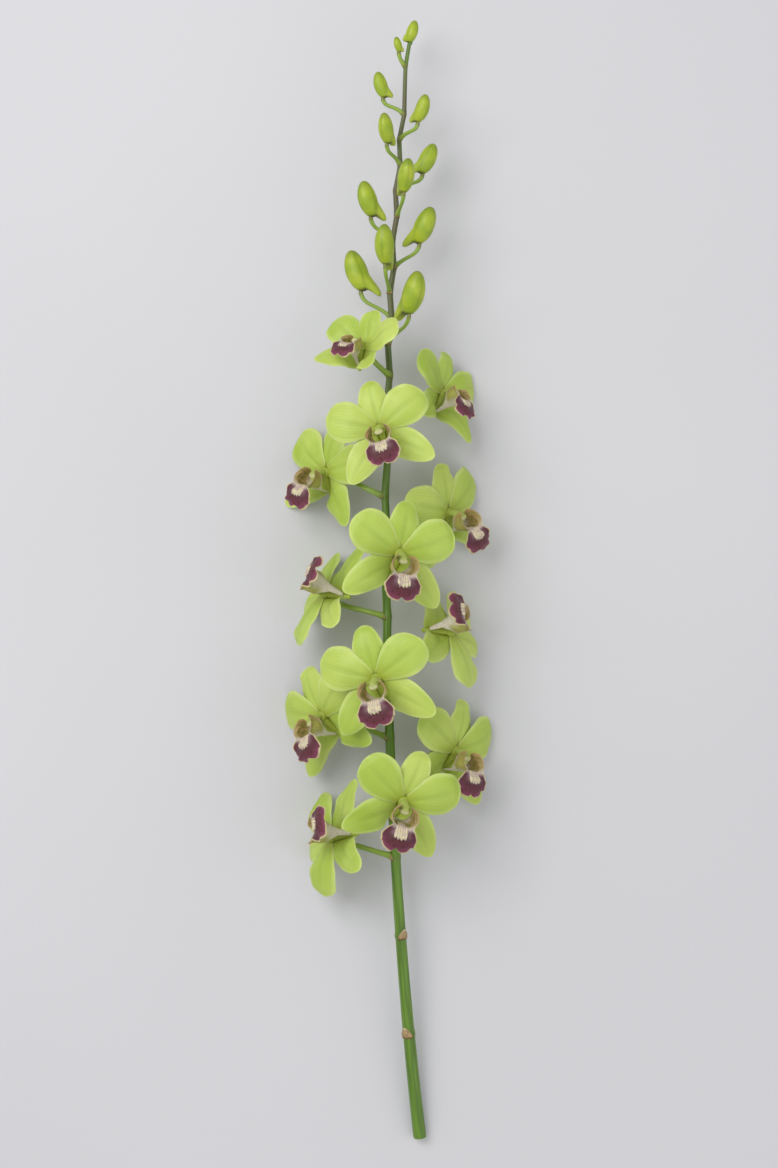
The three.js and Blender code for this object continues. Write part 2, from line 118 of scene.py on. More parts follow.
class Trait(IntEnum):
    """What is drawn for a bloom or bud. The tepals of one bloom count on from these numbers."""

    WAVE = 1
    BEND = 11
    TONE = 20
    BUD_BEND = 31
    BUD_TONE = 33
    LIP_FRILL = 41
    LIP_NOTCH = 43
    LIP_TEETH = 45
    CURL = 211
    TWIST = 311


def draw(piece: int, trait: int) -> float:
    """A repeatable draw between -1 and 1.

    Args:
        piece: The number of the bloom or bud.
        trait: Which of its traits is drawn.

    Returns:
        The same number each time for the same piece and trait.
    """
    s = math.sin(piece * 12.9898 + trait * 78.233) * 43758.5453
    return 2.0 * (s - math.floor(s)) - 1.0


def srgb(red: int, green: int, blue: int) -> Colour:
    """A colour as seen on screen, from 0 to 255, made linear for the shader."""
    shares = [c / 255.0 for c in (red, green, blue)]
    return tuple(c / 12.92 if c <= 0.04045 else ((c + 0.055) / 1.055) ** 2.4 for c in shares)


def circle(sides: int) -> Array:
    """Equal turns once round, from 0."""
    return np.linspace(0.0, 2 * math.pi, sides, endpoint=False)


def turn_about(points: Array, axis: Array, angle: Array) -> Array:
    """Turns each point about an axis through the origin by its own angle.

    Args:
        points: The points, with coordinates last.
        axis: The axis, of length 1.
        angle: One angle in radians for each point.

    Returns:
        The turned points.
    """
    cosine = np.cos(angle)[..., None]
    sine = np.sin(angle)[..., None]
    along = (points @ axis)[..., None] * axis
    return points * cosine + np.cross(axis, points) * sine + along * (1.0 - cosine)


def bezier(corners: Sequence[Array], t: Number) -> Array:
    """A smooth curve that starts at the first corner, ends at the last and is pulled by the others.

    Args:
        corners: The corners.
        t: Where on the curve, from 0 to 1.

    Returns:
        The points there, with coordinates last.
    """
    t = np.asarray(t)[..., None]
    last = len(corners) - 1
    return sum(math.comb(last, k) * (1 - t) ** (last - k) * t**k * c for k, c in enumerate(corners))


def eased(at: Sequence[float], values: Sequence[float], spread: float) -> Callable[[Array], Array]:
    """A smooth reading of a short table.

    Args:
        at: Where the values stand, from 0 to 1.
        values: The values.
        spread: How far each corner of the table is rounded off.

    Returns:
        A function of the place.
    """
    fine = np.linspace(-0.2, 1.2, 1401)
    step = fine[1] - fine[0]
    straight = np.interp(fine, at, values)
    reach = int(4 * spread / step)
    weights = bell(np.arange(-reach, reach + 1) * step, 0.0, spread)
    rounded = np.convolve(np.pad(straight, reach, mode="edge"), weights / weights.sum(), "valid")
    return lambda x: np.interp(x, fine, rounded)


def give_layer(mesh: bpy.types.Mesh, name: str, values: Array) -> None:
    """Gives each point of a mesh its own number, or its own direction."""
    kind, key = ("FLOAT", "value") if values.ndim == 1 else ("FLOAT_VECTOR", "vector")
    mesh.attributes.new(name, kind, "POINT").data.foreach_set(key, values.astype(np.float32).ravel())


@dataclass
class Solid:
    """A closed skin of quads in millimetres, with a number for each point in each layer."""

    points: Array
    quads: Array
    layers: dict[str, Array] = field(default_factory=dict)

    @staticmethod
    def joined(solids: Sequence["Solid"]) -> "Solid":
        """Several skins as one.

        Args:
            solids: The skins.

        Returns:
            One skin with all their layers, and 0 where a skin lacks one.
        """
        names = sorted({name for solid in solids for name in solid.layers})
        starts = np.cumsum([0] + [len(solid.points) for solid in solids])
        return Solid(
            np.concatenate([solid.points for solid in solids]),
            np.concatenate([solid.quads + start for solid, start in zip(solids, starts)]),
            {
                name: np.concatenate([s.layers.get(name, np.zeros(len(s.points))) for s in solids])
                for name in names
            },
        )

    def seated(self, turn: Array, place: Array) -> "Solid":
        """The same skin where its stem carries it, pressed flat where it would dip into the floor.

        Args:
            turn: The matrix that turns it.
            place: Where its origin goes.

        Returns:
            The skin in the object's own millimetres.
        """
        points = self.points @ turn.T + place
        low = points[:, 2] < SOFT_FLOOR
        points[low, 2] = SOFT_FLOOR * np.exp(points[low, 2] / SOFT_FLOOR - 1.0)
        return Solid(points, self.quads, self.layers)

    def mesh(self, name: str) -> bpy.types.Mesh:
        """The skin as a Blender mesh in metres, its seams and poles closed.

        Args:
            name: The mesh's name.

        Returns:
            A smooth shaded mesh whose layers are point attributes.
        """
        mesh = bpy.data.meshes.new(name)
        mesh.from_pydata((self.points * MM).tolist(), [], self.quads.tolist())
        for layer, values in self.layers.items():
            give_layer(mesh, layer, values)
        welded = bmesh.new()
        welded.from_mesh(mesh)
        bmesh.ops.remove_doubles(welded, verts=welded.verts, dist=WELD)
        bmesh.ops.recalc_face_normals(welded, faces=welded.faces)
        welded.to_mesh(mesh)
        welded.free()
        mesh.shade_smooth()
        return mesh


def grid_quads(rows: int, columns: int, wrapped: bool = False) -> Array:
    """Four point numbers for each quad of a grid.

    Args:
        rows: Rows of points.
        columns: Points in a row, numbered row by row.
        wrapped: Whether the last column meets the first.

    Returns:
        The quads.
    """
    numbers = np.arange(rows * columns).reshape(rows, columns)
    if wrapped:
        numbers = np.concatenate([numbers, numbers[:, :1]], axis=1)
    corners = [numbers[:-1, :-1], numbers[:-1, 1:], numbers[1:, 1:], numbers[1:, :-1]]
    return np.stack([corner.ravel() for corner in corners], axis=1)


def blade(sheet: Sheet, columns: int, along: Array, thickness: Sheet) -> Solid:
    """A thin closed plate round a curved sheet.

    Args:
        sheet: Gives the middle of the plate at (u, v).
        columns: How many columns lie from u = -1 to 1. They crowd towards both edges.
        along: The rows' v, from 0 to 1.
        thickness: The plate's thickness at (u, v), which is 0 at its rim.

    Returns:
        The plate, with layers across, along and inner, which is 1 on the front.
    """
    across = np.sin(np.linspace(-math.pi / 2, math.pi / 2, columns))
    u, v = np.meshgrid(across, along)
    step = 1e-3
    middle = sheet(u, v)
    sideways = sheet(u + step, v) - sheet(u - step, v)
    onward = sheet(u, np.minimum(v + step, 1.0)) - sheet(u, np.maximum(v - step, 0.0))
    sideways[-1] = sideways[-2]
    normal = unit(np.cross(sideways, onward))
    half = 0.5 * thickness(u, v)[..., None]
    half[0] = half[-1] = 0.0
    half[:, 0] = half[:, -1] = 0.0
    facing = grid_quads(*u.shape)
    return Solid(
        np.concatenate([(middle + side * normal * half).reshape(-1, 3) for side in (1.0, -1.0)]),
        np.concatenate([facing, facing[:, ::-1] + u.size]),
        {
            "across": np.tile(u.ravel(), 2),
            "along": np.tile(v.ravel(), 2),
            "inner": np.repeat([1.0, 0.0], u.size),
        },
    )


def loft(rings: Array, along: Array) -> Solid:
    """A closed skin over rings of points, whose first and last ring are single points.

    Args:
        rings: Rows, sides and coordinates.
        along: One number for each row, kept as the layer along.

    Returns:
        The skin.
    """
    rows, sides, _ = rings.shape
    quads = grid_quads(rows, sides, wrapped=True)
    return Solid(rings.reshape(-1, 3), quads, {"along": np.repeat(along, sides)})


@dataclass(frozen=True)
class Station:
    """A place on the stem, with the stem's own directions there."""

    point: Array
    along: Array
    right: Array
    up: Array

    def round(self, degrees: float) -> Array:
        """The direction out of the stem, turned from straight up to the right."""
        turn = math.radians(degrees)
        return self.up * math.cos(turn) + self.right * math.sin(turn)


@dataclass
class Route:
    """The stem's middle line from its cut end to its tip, one smooth curve."""

    cut_end: Place = (12.0, -300.0, 3.47)
    lower_pull: Place = (-8.0, -130.0, 27.0)
    upper_pull: Place = (-14.0, 90.0, 32.0)
    tip: Place = (6.0, 288.0, 27.0)
    steps: int = 600

    def __post_init__(self) -> None:
        """Measures the curve once, so that stations are equal lengths apart."""
        self.corners = np.array([self.cut_end, self.lower_pull, self.upper_pull, self.tip])
        self.shares = np.linspace(0.0, 1.0, self.steps + 1)
        runs = np.linalg.norm(np.diff(bezier(self.corners, self.shares), axis=0), axis=1)
        self.lengths = np.concatenate([[0.0], np.cumsum(runs)])
        self.length = float(self.lengths[-1])

    def station(self, at: float) -> Station:
        """The place at a length along the stem.

        Args:
            at: The length from the cut end.

        Returns:
            The station there.
        """
        t = float(np.interp(at, self.lengths, self.shares))
        along = unit(bezier(np.diff(self.corners, axis=0), t))
        right = unit(np.cross(along, UP))
        return Station(bezier(self.corners, t), along, right, unit(np.cross(right, along)))


@dataclass(frozen=True)
class BloomPlan:
    """How one bloom hangs on the stem, with the same words as in the CAD."""

    side: float
    face: float
    reach: float
    nod: float
    roll: float
    size: float
    opened: float = 1.0
    rests: bool = False


BLOOM_PLANS = (
    BloomPlan(-84, -56, 34, 18, 114, 0.94, rests=True),
    BloomPlan(10, 8, 33, -12, -22, 0.94),
    BloomPlan(84, 40, 35, -6, -16, 0.94, rests=True),
    BloomPlan(-84, -44, 36, -4, 24, 0.96, rests=True),
    BloomPlan(-10, -12, 35, -6, 12, 0.96),
    BloomPlan(84, 54, 34, 24, -116, 0.94, rests=True),
    BloomPlan(-84, -64, 33, 32, 106, 0.92, rests=True),
    BloomPlan(12, 14, 34, -8, -10, 0.94),
    BloomPlan(82, 46, 34, -2, 16, 0.91, rests=True),
    BloomPlan(-82, -42, 33, 2, -14, 0.89, rests=True),
    BloomPlan(-6, -8, 34, 2, 18, 0.88, opened=0.95),
    BloomPlan(80, 52, 30, 14, -20, 0.83, opened=0.86, rests=True),
    BloomPlan(-34, -30, 25, 34, -8, 0.75, opened=0.72),
)


@dataclass(frozen=True)
class Perch:
    """Where a bloom or bud sits: its station, the directions there, its turn and its place."""

    at: float
    along: Array
    outward: Array
    facing: Array
    dorsal: Array
    turn: Array
    place: Array


@dataclass
class Habit:
    """Where blooms and buds leave the stem, in lengths from its cut end."""

    route: Route = field(default_factory=Route)
    first_bloom: float = 155.0
    bloom_spacing: float = 21.5
    bloom_advance: float = 13.0
    first_bud: float = 430.0
    bud_spacing: float = 13.6
    bud_count: int = 12
    tip_bud_gap: float = 12.0
    bare_nodes: Row = (58.0, 112.0)
    bare_sides: Row = (-30.0, 35.0)
    side_step: float = 137.0
    side_start: float = 62.0
    side_limit: float = 105.0
    lean: float = 74.0
    advances: Pair = (14.0, 6.0)
    reaches: Pair = (17.0, 10.0)
    upside_down: float = 180.0
    crown_lean: float = 84.0
    crown_advance: float = 0.6
    late_reach: float = 5.6
    late_side: float = -66.0

    def __post_init__(self) -> None:
        """Counts the buds: the last one crowns the tip, and the one before it lags behind."""
        self.crown = self.bud_count - 1
        self.late = self.bud_count - 2

    def bloom_at(self, index: int) -> float:
        """The bloom's station, counted from 0."""
        return self.first_bloom + self.bloom_spacing * index

    def bud_at(self, index: int) -> float:
        """The bud's station, counted from 0."""
        if index >= self.late:
            return self.route.length - self.tip_bud_gap * (self.crown - index)
        return self.first_bud + self.bud_spacing * index

    def nodes(self) -> list[tuple[float, Array]]:
        """Every length at which the stem has a node, and the direction that the node faces."""
        bare = zip(self.bare_nodes, self.bare_sides)
        return [
            *((at, self.route.station(at).round(side)) for at, side in bare),
            *((self.bloom_at(i), self.bloom(i).outward) for i in range(len(BLOOM_PLANS))),
            *((self.bud_at(i), self.bud(i).outward) for i in range(self.crown)),
        ]

    def _perch(self, at: float, side: float, aim: Place, reach: float, advance: float) -> Perch:
        """The directions of a bloom or bud.

        Args:
            at: Its station.
            side: The turn round the stem at which it stands.
            aim: Its face, nod and roll.
            reach: How far out it stands from the stem.
            advance: How far on along the stem.

        Returns:
            The perch, before anything is set down on the floor.
        """
        station = self.route.station(at)
        outward = station.round(side)
        face, nod, roll = aim[0], math.radians(aim[1]), math.radians(aim[2])
        facing = station.round(face) * math.cos(nod) + station.along * math.sin(nod)
        dorsal = unit(station.along - facing * (station.along @ facing))
        dorsal = turn_about(dorsal[None], facing, np.array([roll]))[0]
        turn = np.stack([np.cross(dorsal, facing), dorsal, facing], axis=1)
        place = station.point + outward * reach + station.along * advance
        return Perch(at, station.along, outward, facing, dorsal, turn, place)

    def bloom(self, index: int) -> Perch:
        """The perch of a bloom."""
        plan = BLOOM_PLANS[index]
        aim = (plan.face, plan.nod, plan.roll)
        return self._perch(self.bloom_at(index), plan.side, aim, plan.reach, self.bloom_advance)

    def bud(self, index: int) -> Perch:
        """The perch of a bud. The buds wind round the upper side of the stem.

        Args:
            index: The bud's number, from 0.

        Returns:
            Its perch. The late bud sits close to the stem, and the last one crowns the tip.
        """
        share = index / self.crown
        wound = (self.side_start + self.side_step * index + 180.0) % 360.0 - 180.0
        side = wound / 180.0 * self.side_limit
        reach, advance, nod = mix(*self.reaches, share), mix(*self.advances, share), self.lean
        if index == self.late:
            side, reach = self.late_side, self.late_reach
        if index == self.crown:
            reach, advance, nod = self.crown_advance, self.crown_advance, self.crown_lean
        return self._perch(self.bud_at(index), side, (side, nod, self.upside_down), reach, advance)


@dataclass(frozen=True)
class TepalShape:
    """The outline and the lie of the upper sepal or a petal."""

    length: float
    half: float
    base: float
    tip: float
    peak: float
    full: float
    angle: float
    start: float
    level: float
    arch: float
    droop: float
    camber: float


DORSAL = TepalShape(
    length=27.9, half=9.0, base=4.2, tip=3.8, peak=0.56, full=0.66,
    angle=90.0, start=1.5, level=-0.9, arch=2.4, droop=4.2, camber=-1.8,
)
PETAL = TepalShape(
    length=31.4, half=12.4, base=2.8, tip=5.2, peak=0.62, full=0.64,
    angle=28.0, start=1.8, level=0.5, arch=2.8, droop=4.6, camber=-2.2,
)


@dataclass
class Bloom:
    """The green parts of one bloom: five tepals, the column and its foot with the spur."""

    index: int
    opened: float
    sepal_top: Place = (2.2, -0.5, -1.4)
    spur_tip: Place = (0.9, -13.0, -9.0)
    sepal_pull: Place = (11.0, -9.0, 3.0)
    sepal_tip: Place = (27.0, -26.0, 2.0)
    sepal_half: float = 9.6
    sepal_widest: float = 0.42
    sepal_camber: float = -1.4
    sepal_turned: float = 0.5
    sepal_taper: float = 0.55
    sepal_droop: float = 2.6
    curl_range: float = 2.4
    twist_range: float = 0.2
    bend_range: float = 1.8
    arch_span: float = 0.8
    base_share: float = 0.2
    tip_fall: float = 1.3
    tip_fall_from: float = 0.86
    tip_round: float = 2.5
    sepal_round: float = 2.3
    petal_relief_end: float = 1.5
    sepal_relief_end: float = 1.3
    edge_wave: float = 1.4
    edge_waves: float = 1.25
    ripple: float = 0.36
    ripple_waves: float = 2.9
    rounded_from: float = 0.84
    closed_lift: float = 78.0
    lift_to: float = 0.7
    lift_aim: float = 0.6
    hub_radius: float = 3.3
    hub_back: float = 2.4
    # hub_tone and foot_tone are the along readings of the hub and the foot, so these take the tepals'
    # darker base colour, which is partly painted shade.
    hub_tone: float = 0.03
    column_tip: Place = (0.0, -2.6, 10.0)
    column_radii: Pair = (2.2, 2.8)
    column_flat: float = 0.55
    column_dome: float = 1.5
    column_arch: float = 0.7
    neck_depth: float = 0.05
    neck_at: Pair = (0.93, 0.04)
    hollow_depth: float = 0.3
    hollow_at: Pair = (0.68, 0.14)
    stigma_at: Pair = (0.68, 0.13)
    stigma_side: Pair = (0.3, 0.8)
    cap_rise: Pair = (0.88, 0.96)
    cap_under: Pair = (0.3, 1.5)
    wing: float = 0.3
    wing_at: Pair = (0.76, 0.16)
    foot_radii: Pair = (2.3, 1.3)
    foot_flat: float = 0.8
    foot_dome: float = 1.1
    foot_tone: float = 0.1
    rib_depth: float = 0.13
    ribs: float = 4.5
    ribs_at: Row = (0.05, 0.3, 0.75, 1.0)
    channel_depth: float = 0.75
    channel_half: float = 0.17
    channel_from: Pair = (0.02, 0.2)
    channel_fade: float = 1.3
    blade_heart: float = 0.95
    blade_rim: float = 0.42
    columns: int = 33
    rows: int = 34
    tube_sides: int = 24
    tube_rows: int = 15
    dome_rows: int = 7
    hub_rows: int = 12

    def _crosswise(self, u: Array, v: Array, wave: float, depth: Number) -> Array:
        """How high a tepal's waved edge, channel and ribs stand up from its plain sheet.

        Args:
            u: From side to side.
            v: From root to tip.
            wave: Where the wave of its edge starts.
            depth: How deep the channel down its middle and the ribs beside it are.

        Returns:
            The height.
        """
        broad = np.sin(2 * math.pi * (self.edge_waves * v + wave) + u)
        small = self.ripple * np.sin(2 * math.pi * (self.ripple_waves * v - 2.0 * wave) + 2.4 * u)
        edge = self.edge_wave * np.abs(u) ** 3 * v * (broad + small)
        channel = self.channel_depth * bell(u, 0.0, self.channel_half)
        channel = channel * smooth(v, *self.channel_from) * (1.0 - v) ** self.channel_fade
        ribs = self.rib_depth * np.cos(2 * math.pi * self.ribs * u) * (1.0 - np.abs(u) ** 3)
        return edge + (ribs * window(v, *self.ribs_at) - channel) * depth

    def spread(self, shape: TepalShape, mirror: float, wave: float) -> Sheet:
        """The sheet of the upper sepal or a petal, straight out from the heart.

        Args:
            shape: Its outline and lie.
            mirror: 1 for the right of the bloom, -1 for the left.
            wave: Where the wave of its edge starts.

        Returns:
            Its middle surface.
        """
        angle = math.radians(shape.angle)
        out = np.array([math.cos(angle) * mirror, math.sin(angle), 0.0])
        across = np.array([-out[1], out[0], 0.0])
        power = math.log(0.5) / math.log(shape.peak)
        own = int(shape.angle) + int(mirror)
        bend = self.bend_range * draw(self.index, Trait.BEND + own)
        curl = self.curl_range * draw(self.index, Trait.CURL + own)
        twist = self.twist_range * draw(self.index, Trait.TWIST + own)

        def sheet(u: Array, v: Array) -> Array:
            """The tepal's points at u from side to side and v from root to tip."""
            belly = np.maximum(0.0, np.sin(math.pi * v**power)) ** shape.full
            rounding = fallen(past(v, self.rounded_from), self.tip_round)
            half = shape.base * (1 - v) ** 2 + (shape.half - shape.base * self.base_share) * belly
            half = (half + shape.tip * v**8) * rounding
            height = shape.level + shape.arch * np.sin(math.pi * self.arch_span * v)
            height = height - shape.droop * v * v + shape.camber * u * u * belly
            crosswise = self._crosswise(u, v, wave, 1.0)
            height = height + crosswise * np.minimum(1.0, self.petal_relief_end * rounding)
            height = height - self.tip_fall * smooth(v, self.tip_fall_from, 1.0)
            height = height + curl * v**3 + twist * v * u * half
            reach = shape.start + shape.length * v
            sideways = u * half + bend * v * v
            return out * reach[..., None] + across * sideways[..., None] + UP * height[..., None]

        return sheet

    def lateral(self, mirror: float, wave: float) -> Sheet:
        """The sheet of a lower sepal, whose broad base runs down the foot to the spur.

        Args:
            mirror: 1 for the right of the bloom, -1 for the left.
            wave: Where the wave of its edge starts.

        Returns:
            Its middle surface.
        """
        points = (self.sepal_top, self.spur_tip, self.sepal_pull, self.sepal_tip)
        top, low, pull, tip = np.array(points) * [mirror, 1.0, 1.0]
        root, root_side = (top + low) / 2, (top - low) / 2
        run = unit((tip - root) * LEVEL)
        tip_side = np.array([-run[1] * mirror, run[0] * mirror, 0.0])
        root_half = float(np.linalg.norm(root_side))
        curl = self.curl_range * draw(self.index, Trait.CURL + int(mirror))

        def sheet(u: Array, v: Array) -> Array:
            """The sepal's points at u from side to side and v from root to tip."""
            turn = smooth(v, 0.0, self.sepal_turned)
            side = unit(mix(unit(root_side), tip_side, turn[..., None]))
            taper = 1 - past(v, self.sepal_widest) ** self.sepal_round
            taper = np.maximum(0.0, taper) ** self.sepal_taper
            half = mix(root_half, self.sepal_half, smooth(v, 0.0, self.sepal_widest)) * taper
            crosswise = self.sepal_camber * u * u * turn + self._crosswise(u, v, wave, turn)
            height = crosswise * np.minimum(1.0, self.sepal_relief_end * taper)
            height = height - self.sepal_droop * v**3 + curl * v**4
            line = bezier((root, pull, tip), v)
            return line + side * (u * half * mirror)[..., None] + UP * height[..., None]

        return sheet

    def closing(self, sheet: Sheet) -> Sheet:
        """Swings a sheet forward about its base, as far as the bloom is closed.

        Args:
            sheet: The sheet in an open bloom.

        Returns:
            The same sheet in this bloom.
        """
        lift = math.radians(self.closed_lift * (1.0 - self.opened))
        if lift == 0.0:
            return sheet
        middle = np.zeros((1, 1))
        base = sheet(middle, middle)[0, 0]
        out = unit((sheet(middle, middle + self.lift_aim)[0, 0] - base) * LEVEL)
        axis = unit(np.cross(out, UP))

        def closed(u: Array, v: Array) -> Array:
            """The swung sheet's points."""
            return turn_about(sheet(u, v) - base, axis, lift * smooth(v, 0.0, self.lift_to)) + base

        return closed

    def _thickness(self, u: Array, v: Array) -> Array:
        """A tepal is fleshy at its heart, thin at its rim and rounded off there."""
        return mix(self.blade_heart, self.blade_rim, np.maximum(u * u, v * v)) * fallen(np.abs(u), 10)

    def tepal(self, sheet: Sheet, tone: float) -> Solid:
        """One tepal with what its finish reads.

        Args:
            sheet: Its middle surface in an open bloom.
            tone: Its own shade, from -1 to 1.

        Returns:
            The tepal, with the layers inner, edge for how near the rim a point is, and tone.
        """
        along = np.sin(np.linspace(0.0, math.pi / 2, self.rows))
        solid = blade(self.closing(sheet), self.columns, along, self._thickness)
        u, v = solid.layers["across"], solid.layers["along"]
        solid.layers["inner"] = 1.0 - solid.layers["inner"]
        solid.layers["edge"] = np.minimum(1.0, (np.abs(u) ** 4 + past(v, self.rounded_from) ** 4) ** 0.25)
        solid.layers["tone"] = np.full(u.shape, tone)
        return solid

    def tube(self, end: Array, radii: Pair, flat: float, dome: float) -> Solid:
        """A round-ended tube from the heart of the bloom.

        Args:
            end: The middle of its far end.
            radii: Its radius at the heart and at the far end.
            flat: Its depth towards the lip, as a share of its radius.
            dome: How far the round end stands past the far end.

        Returns:
            The tube, with the layer along from 0 to 1 at the far end and past it on the dome.
        """
        onward = unit(end)
        down = unit(np.cross(RIGHT, onward))
        turn = circle(self.tube_sides)
        over = 1.0 + np.linspace(0.0, 1.0, self.dome_rows)[1:]
        share = np.concatenate([np.linspace(0.0, 1.0, self.tube_rows), over])
        depth = np.where(np.sin(turn) > 0.0, np.sin(turn) * flat, np.sin(turn))
        section = np.cos(turn)[:, None] * RIGHT + depth[:, None] * down
        rings = []
        for t in share:
            gone, beyond = min(t, 1.0), max(0.0, t - 1.0)
            centre = end * gone + onward * dome * math.sin(beyond * math.pi / 2)
            rings.append(centre + mix(*radii, gone) * fallen(beyond, 2) * section)
        rings.insert(0, np.repeat(rings[0].mean(0)[None], self.tube_sides, axis=0))
        solid = loft(np.array(rings), np.concatenate([[0.0], share]))
        solid.layers["lipward"] = np.tile(np.maximum(0.0, np.sin(turn)), len(rings))
        return solid

    def column(self) -> Solid:
        """The column: hollowed towards the lip, winged beside the stigma, with a cap at its end."""
        tip = np.array(self.column_tip)
        solid = self.tube(tip, self.column_radii, self.column_flat, self.column_dome)
        t, lipward = solid.layers["along"], solid.layers.pop("lipward")
        axis = np.clip(t, 0.0, 1.0)[:, None] * tip
        waist = 1.0 - self.neck_depth * bell(t, *self.neck_at)
        waist = waist - self.hollow_depth * lipward * bell(t, *self.hollow_at)
        solid.points = axis + (solid.points - axis) * waist[:, None]
        solid.points[:, 1] += self.column_arch * np.sin(math.pi * np.clip(t, 0.0, 1.0))
        solid.points[:, 0] *= 1.0 + self.wing * bell(t, *self.wing_at)
        under = 1.0 - smooth(solid.points[:, 1] - tip[1], *self.cap_under)
        solid.layers["cap"] = smooth(t, *self.cap_rise) * under
        solid.layers["stigma"] = bell(t, *self.stigma_at) * smooth(lipward, *self.stigma_side)
        solid.layers["column"] = np.ones(len(t))
        return solid

    def heart(self) -> list[Solid]:
        """The hub behind the tepals, and the foot down to the spur."""
        end = np.array([0.0, *self.spur_tip[1:]])
        foot = self.tube(end, self.foot_radii, self.foot_flat, self.foot_dome)
        foot.layers = {"along": np.clip(foot.layers["along"], 0.0, 1.0) * self.foot_tone}
        polar = np.linspace(0.0, math.pi, self.hub_rows)[:, None]
        turn = circle(self.tube_sides)
        rings = np.stack([
            self.hub_radius * np.sin(polar) * np.cos(turn),
            self.hub_radius * np.sin(polar) * np.sin(turn),
            -self.hub_back * np.cos(polar) * np.ones(self.tube_sides),
        ], axis=-1)
        return [loft(rings, np.full(self.hub_rows, self.hub_tone)), foot]

    def solid(self) -> Solid:
        """The whole bloom about its own heart."""
        waves = [draw(self.index, Trait.WAVE + i) for i in range(5)]
        sheets = [
            self.spread(DORSAL, 1.0, waves[0]),
            self.spread(PETAL, 1.0, waves[1]),
            self.spread(PETAL, -1.0, waves[2]),
            self.lateral(1.0, waves[3]),
            self.lateral(-1.0, waves[4]),
        ]
        tepals = [self.tepal(sheet, draw(self.index, Trait.TONE + i)) for i, sheet in enumerate(sheets)]
        return Solid.joined([*tepals, self.column(), *self.heart()])


@dataclass(frozen=True)
class LipRow:
    """The lip's half width and roll at a share of its length."""

    at: float
    half: float
    roll: float


LIP_ROWS = (
    LipRow(0.0, 1.0, 20.0), LipRow(0.22, 2.4, 50.0), LipRow(0.32, 6.4, 84.0),
    LipRow(0.38, 13.8, 112.0), LipRow(0.46, 17.8, 124.0), LipRow(0.545, 15.6, 120.0),
    LipRow(0.6, 6.0, 60.0), LipRow(0.64, 8.0, 28.0), LipRow(0.7, 10.2, -4.0),
    LipRow(0.77, 10.8, -20.0), LipRow(0.93, 10.4, -26.0), LipRow(1.0, 9.8, -12.0),
)
LIP_LINE = (
    (-11.7, -5.7), (-10.9, 0.0), (-10.2, 7.0), (-9.5, 13.0),
    (-9.6, 17.4), (-13.0, 20.6), (-18.5, 21.6), (-23.6, 19.8),
)


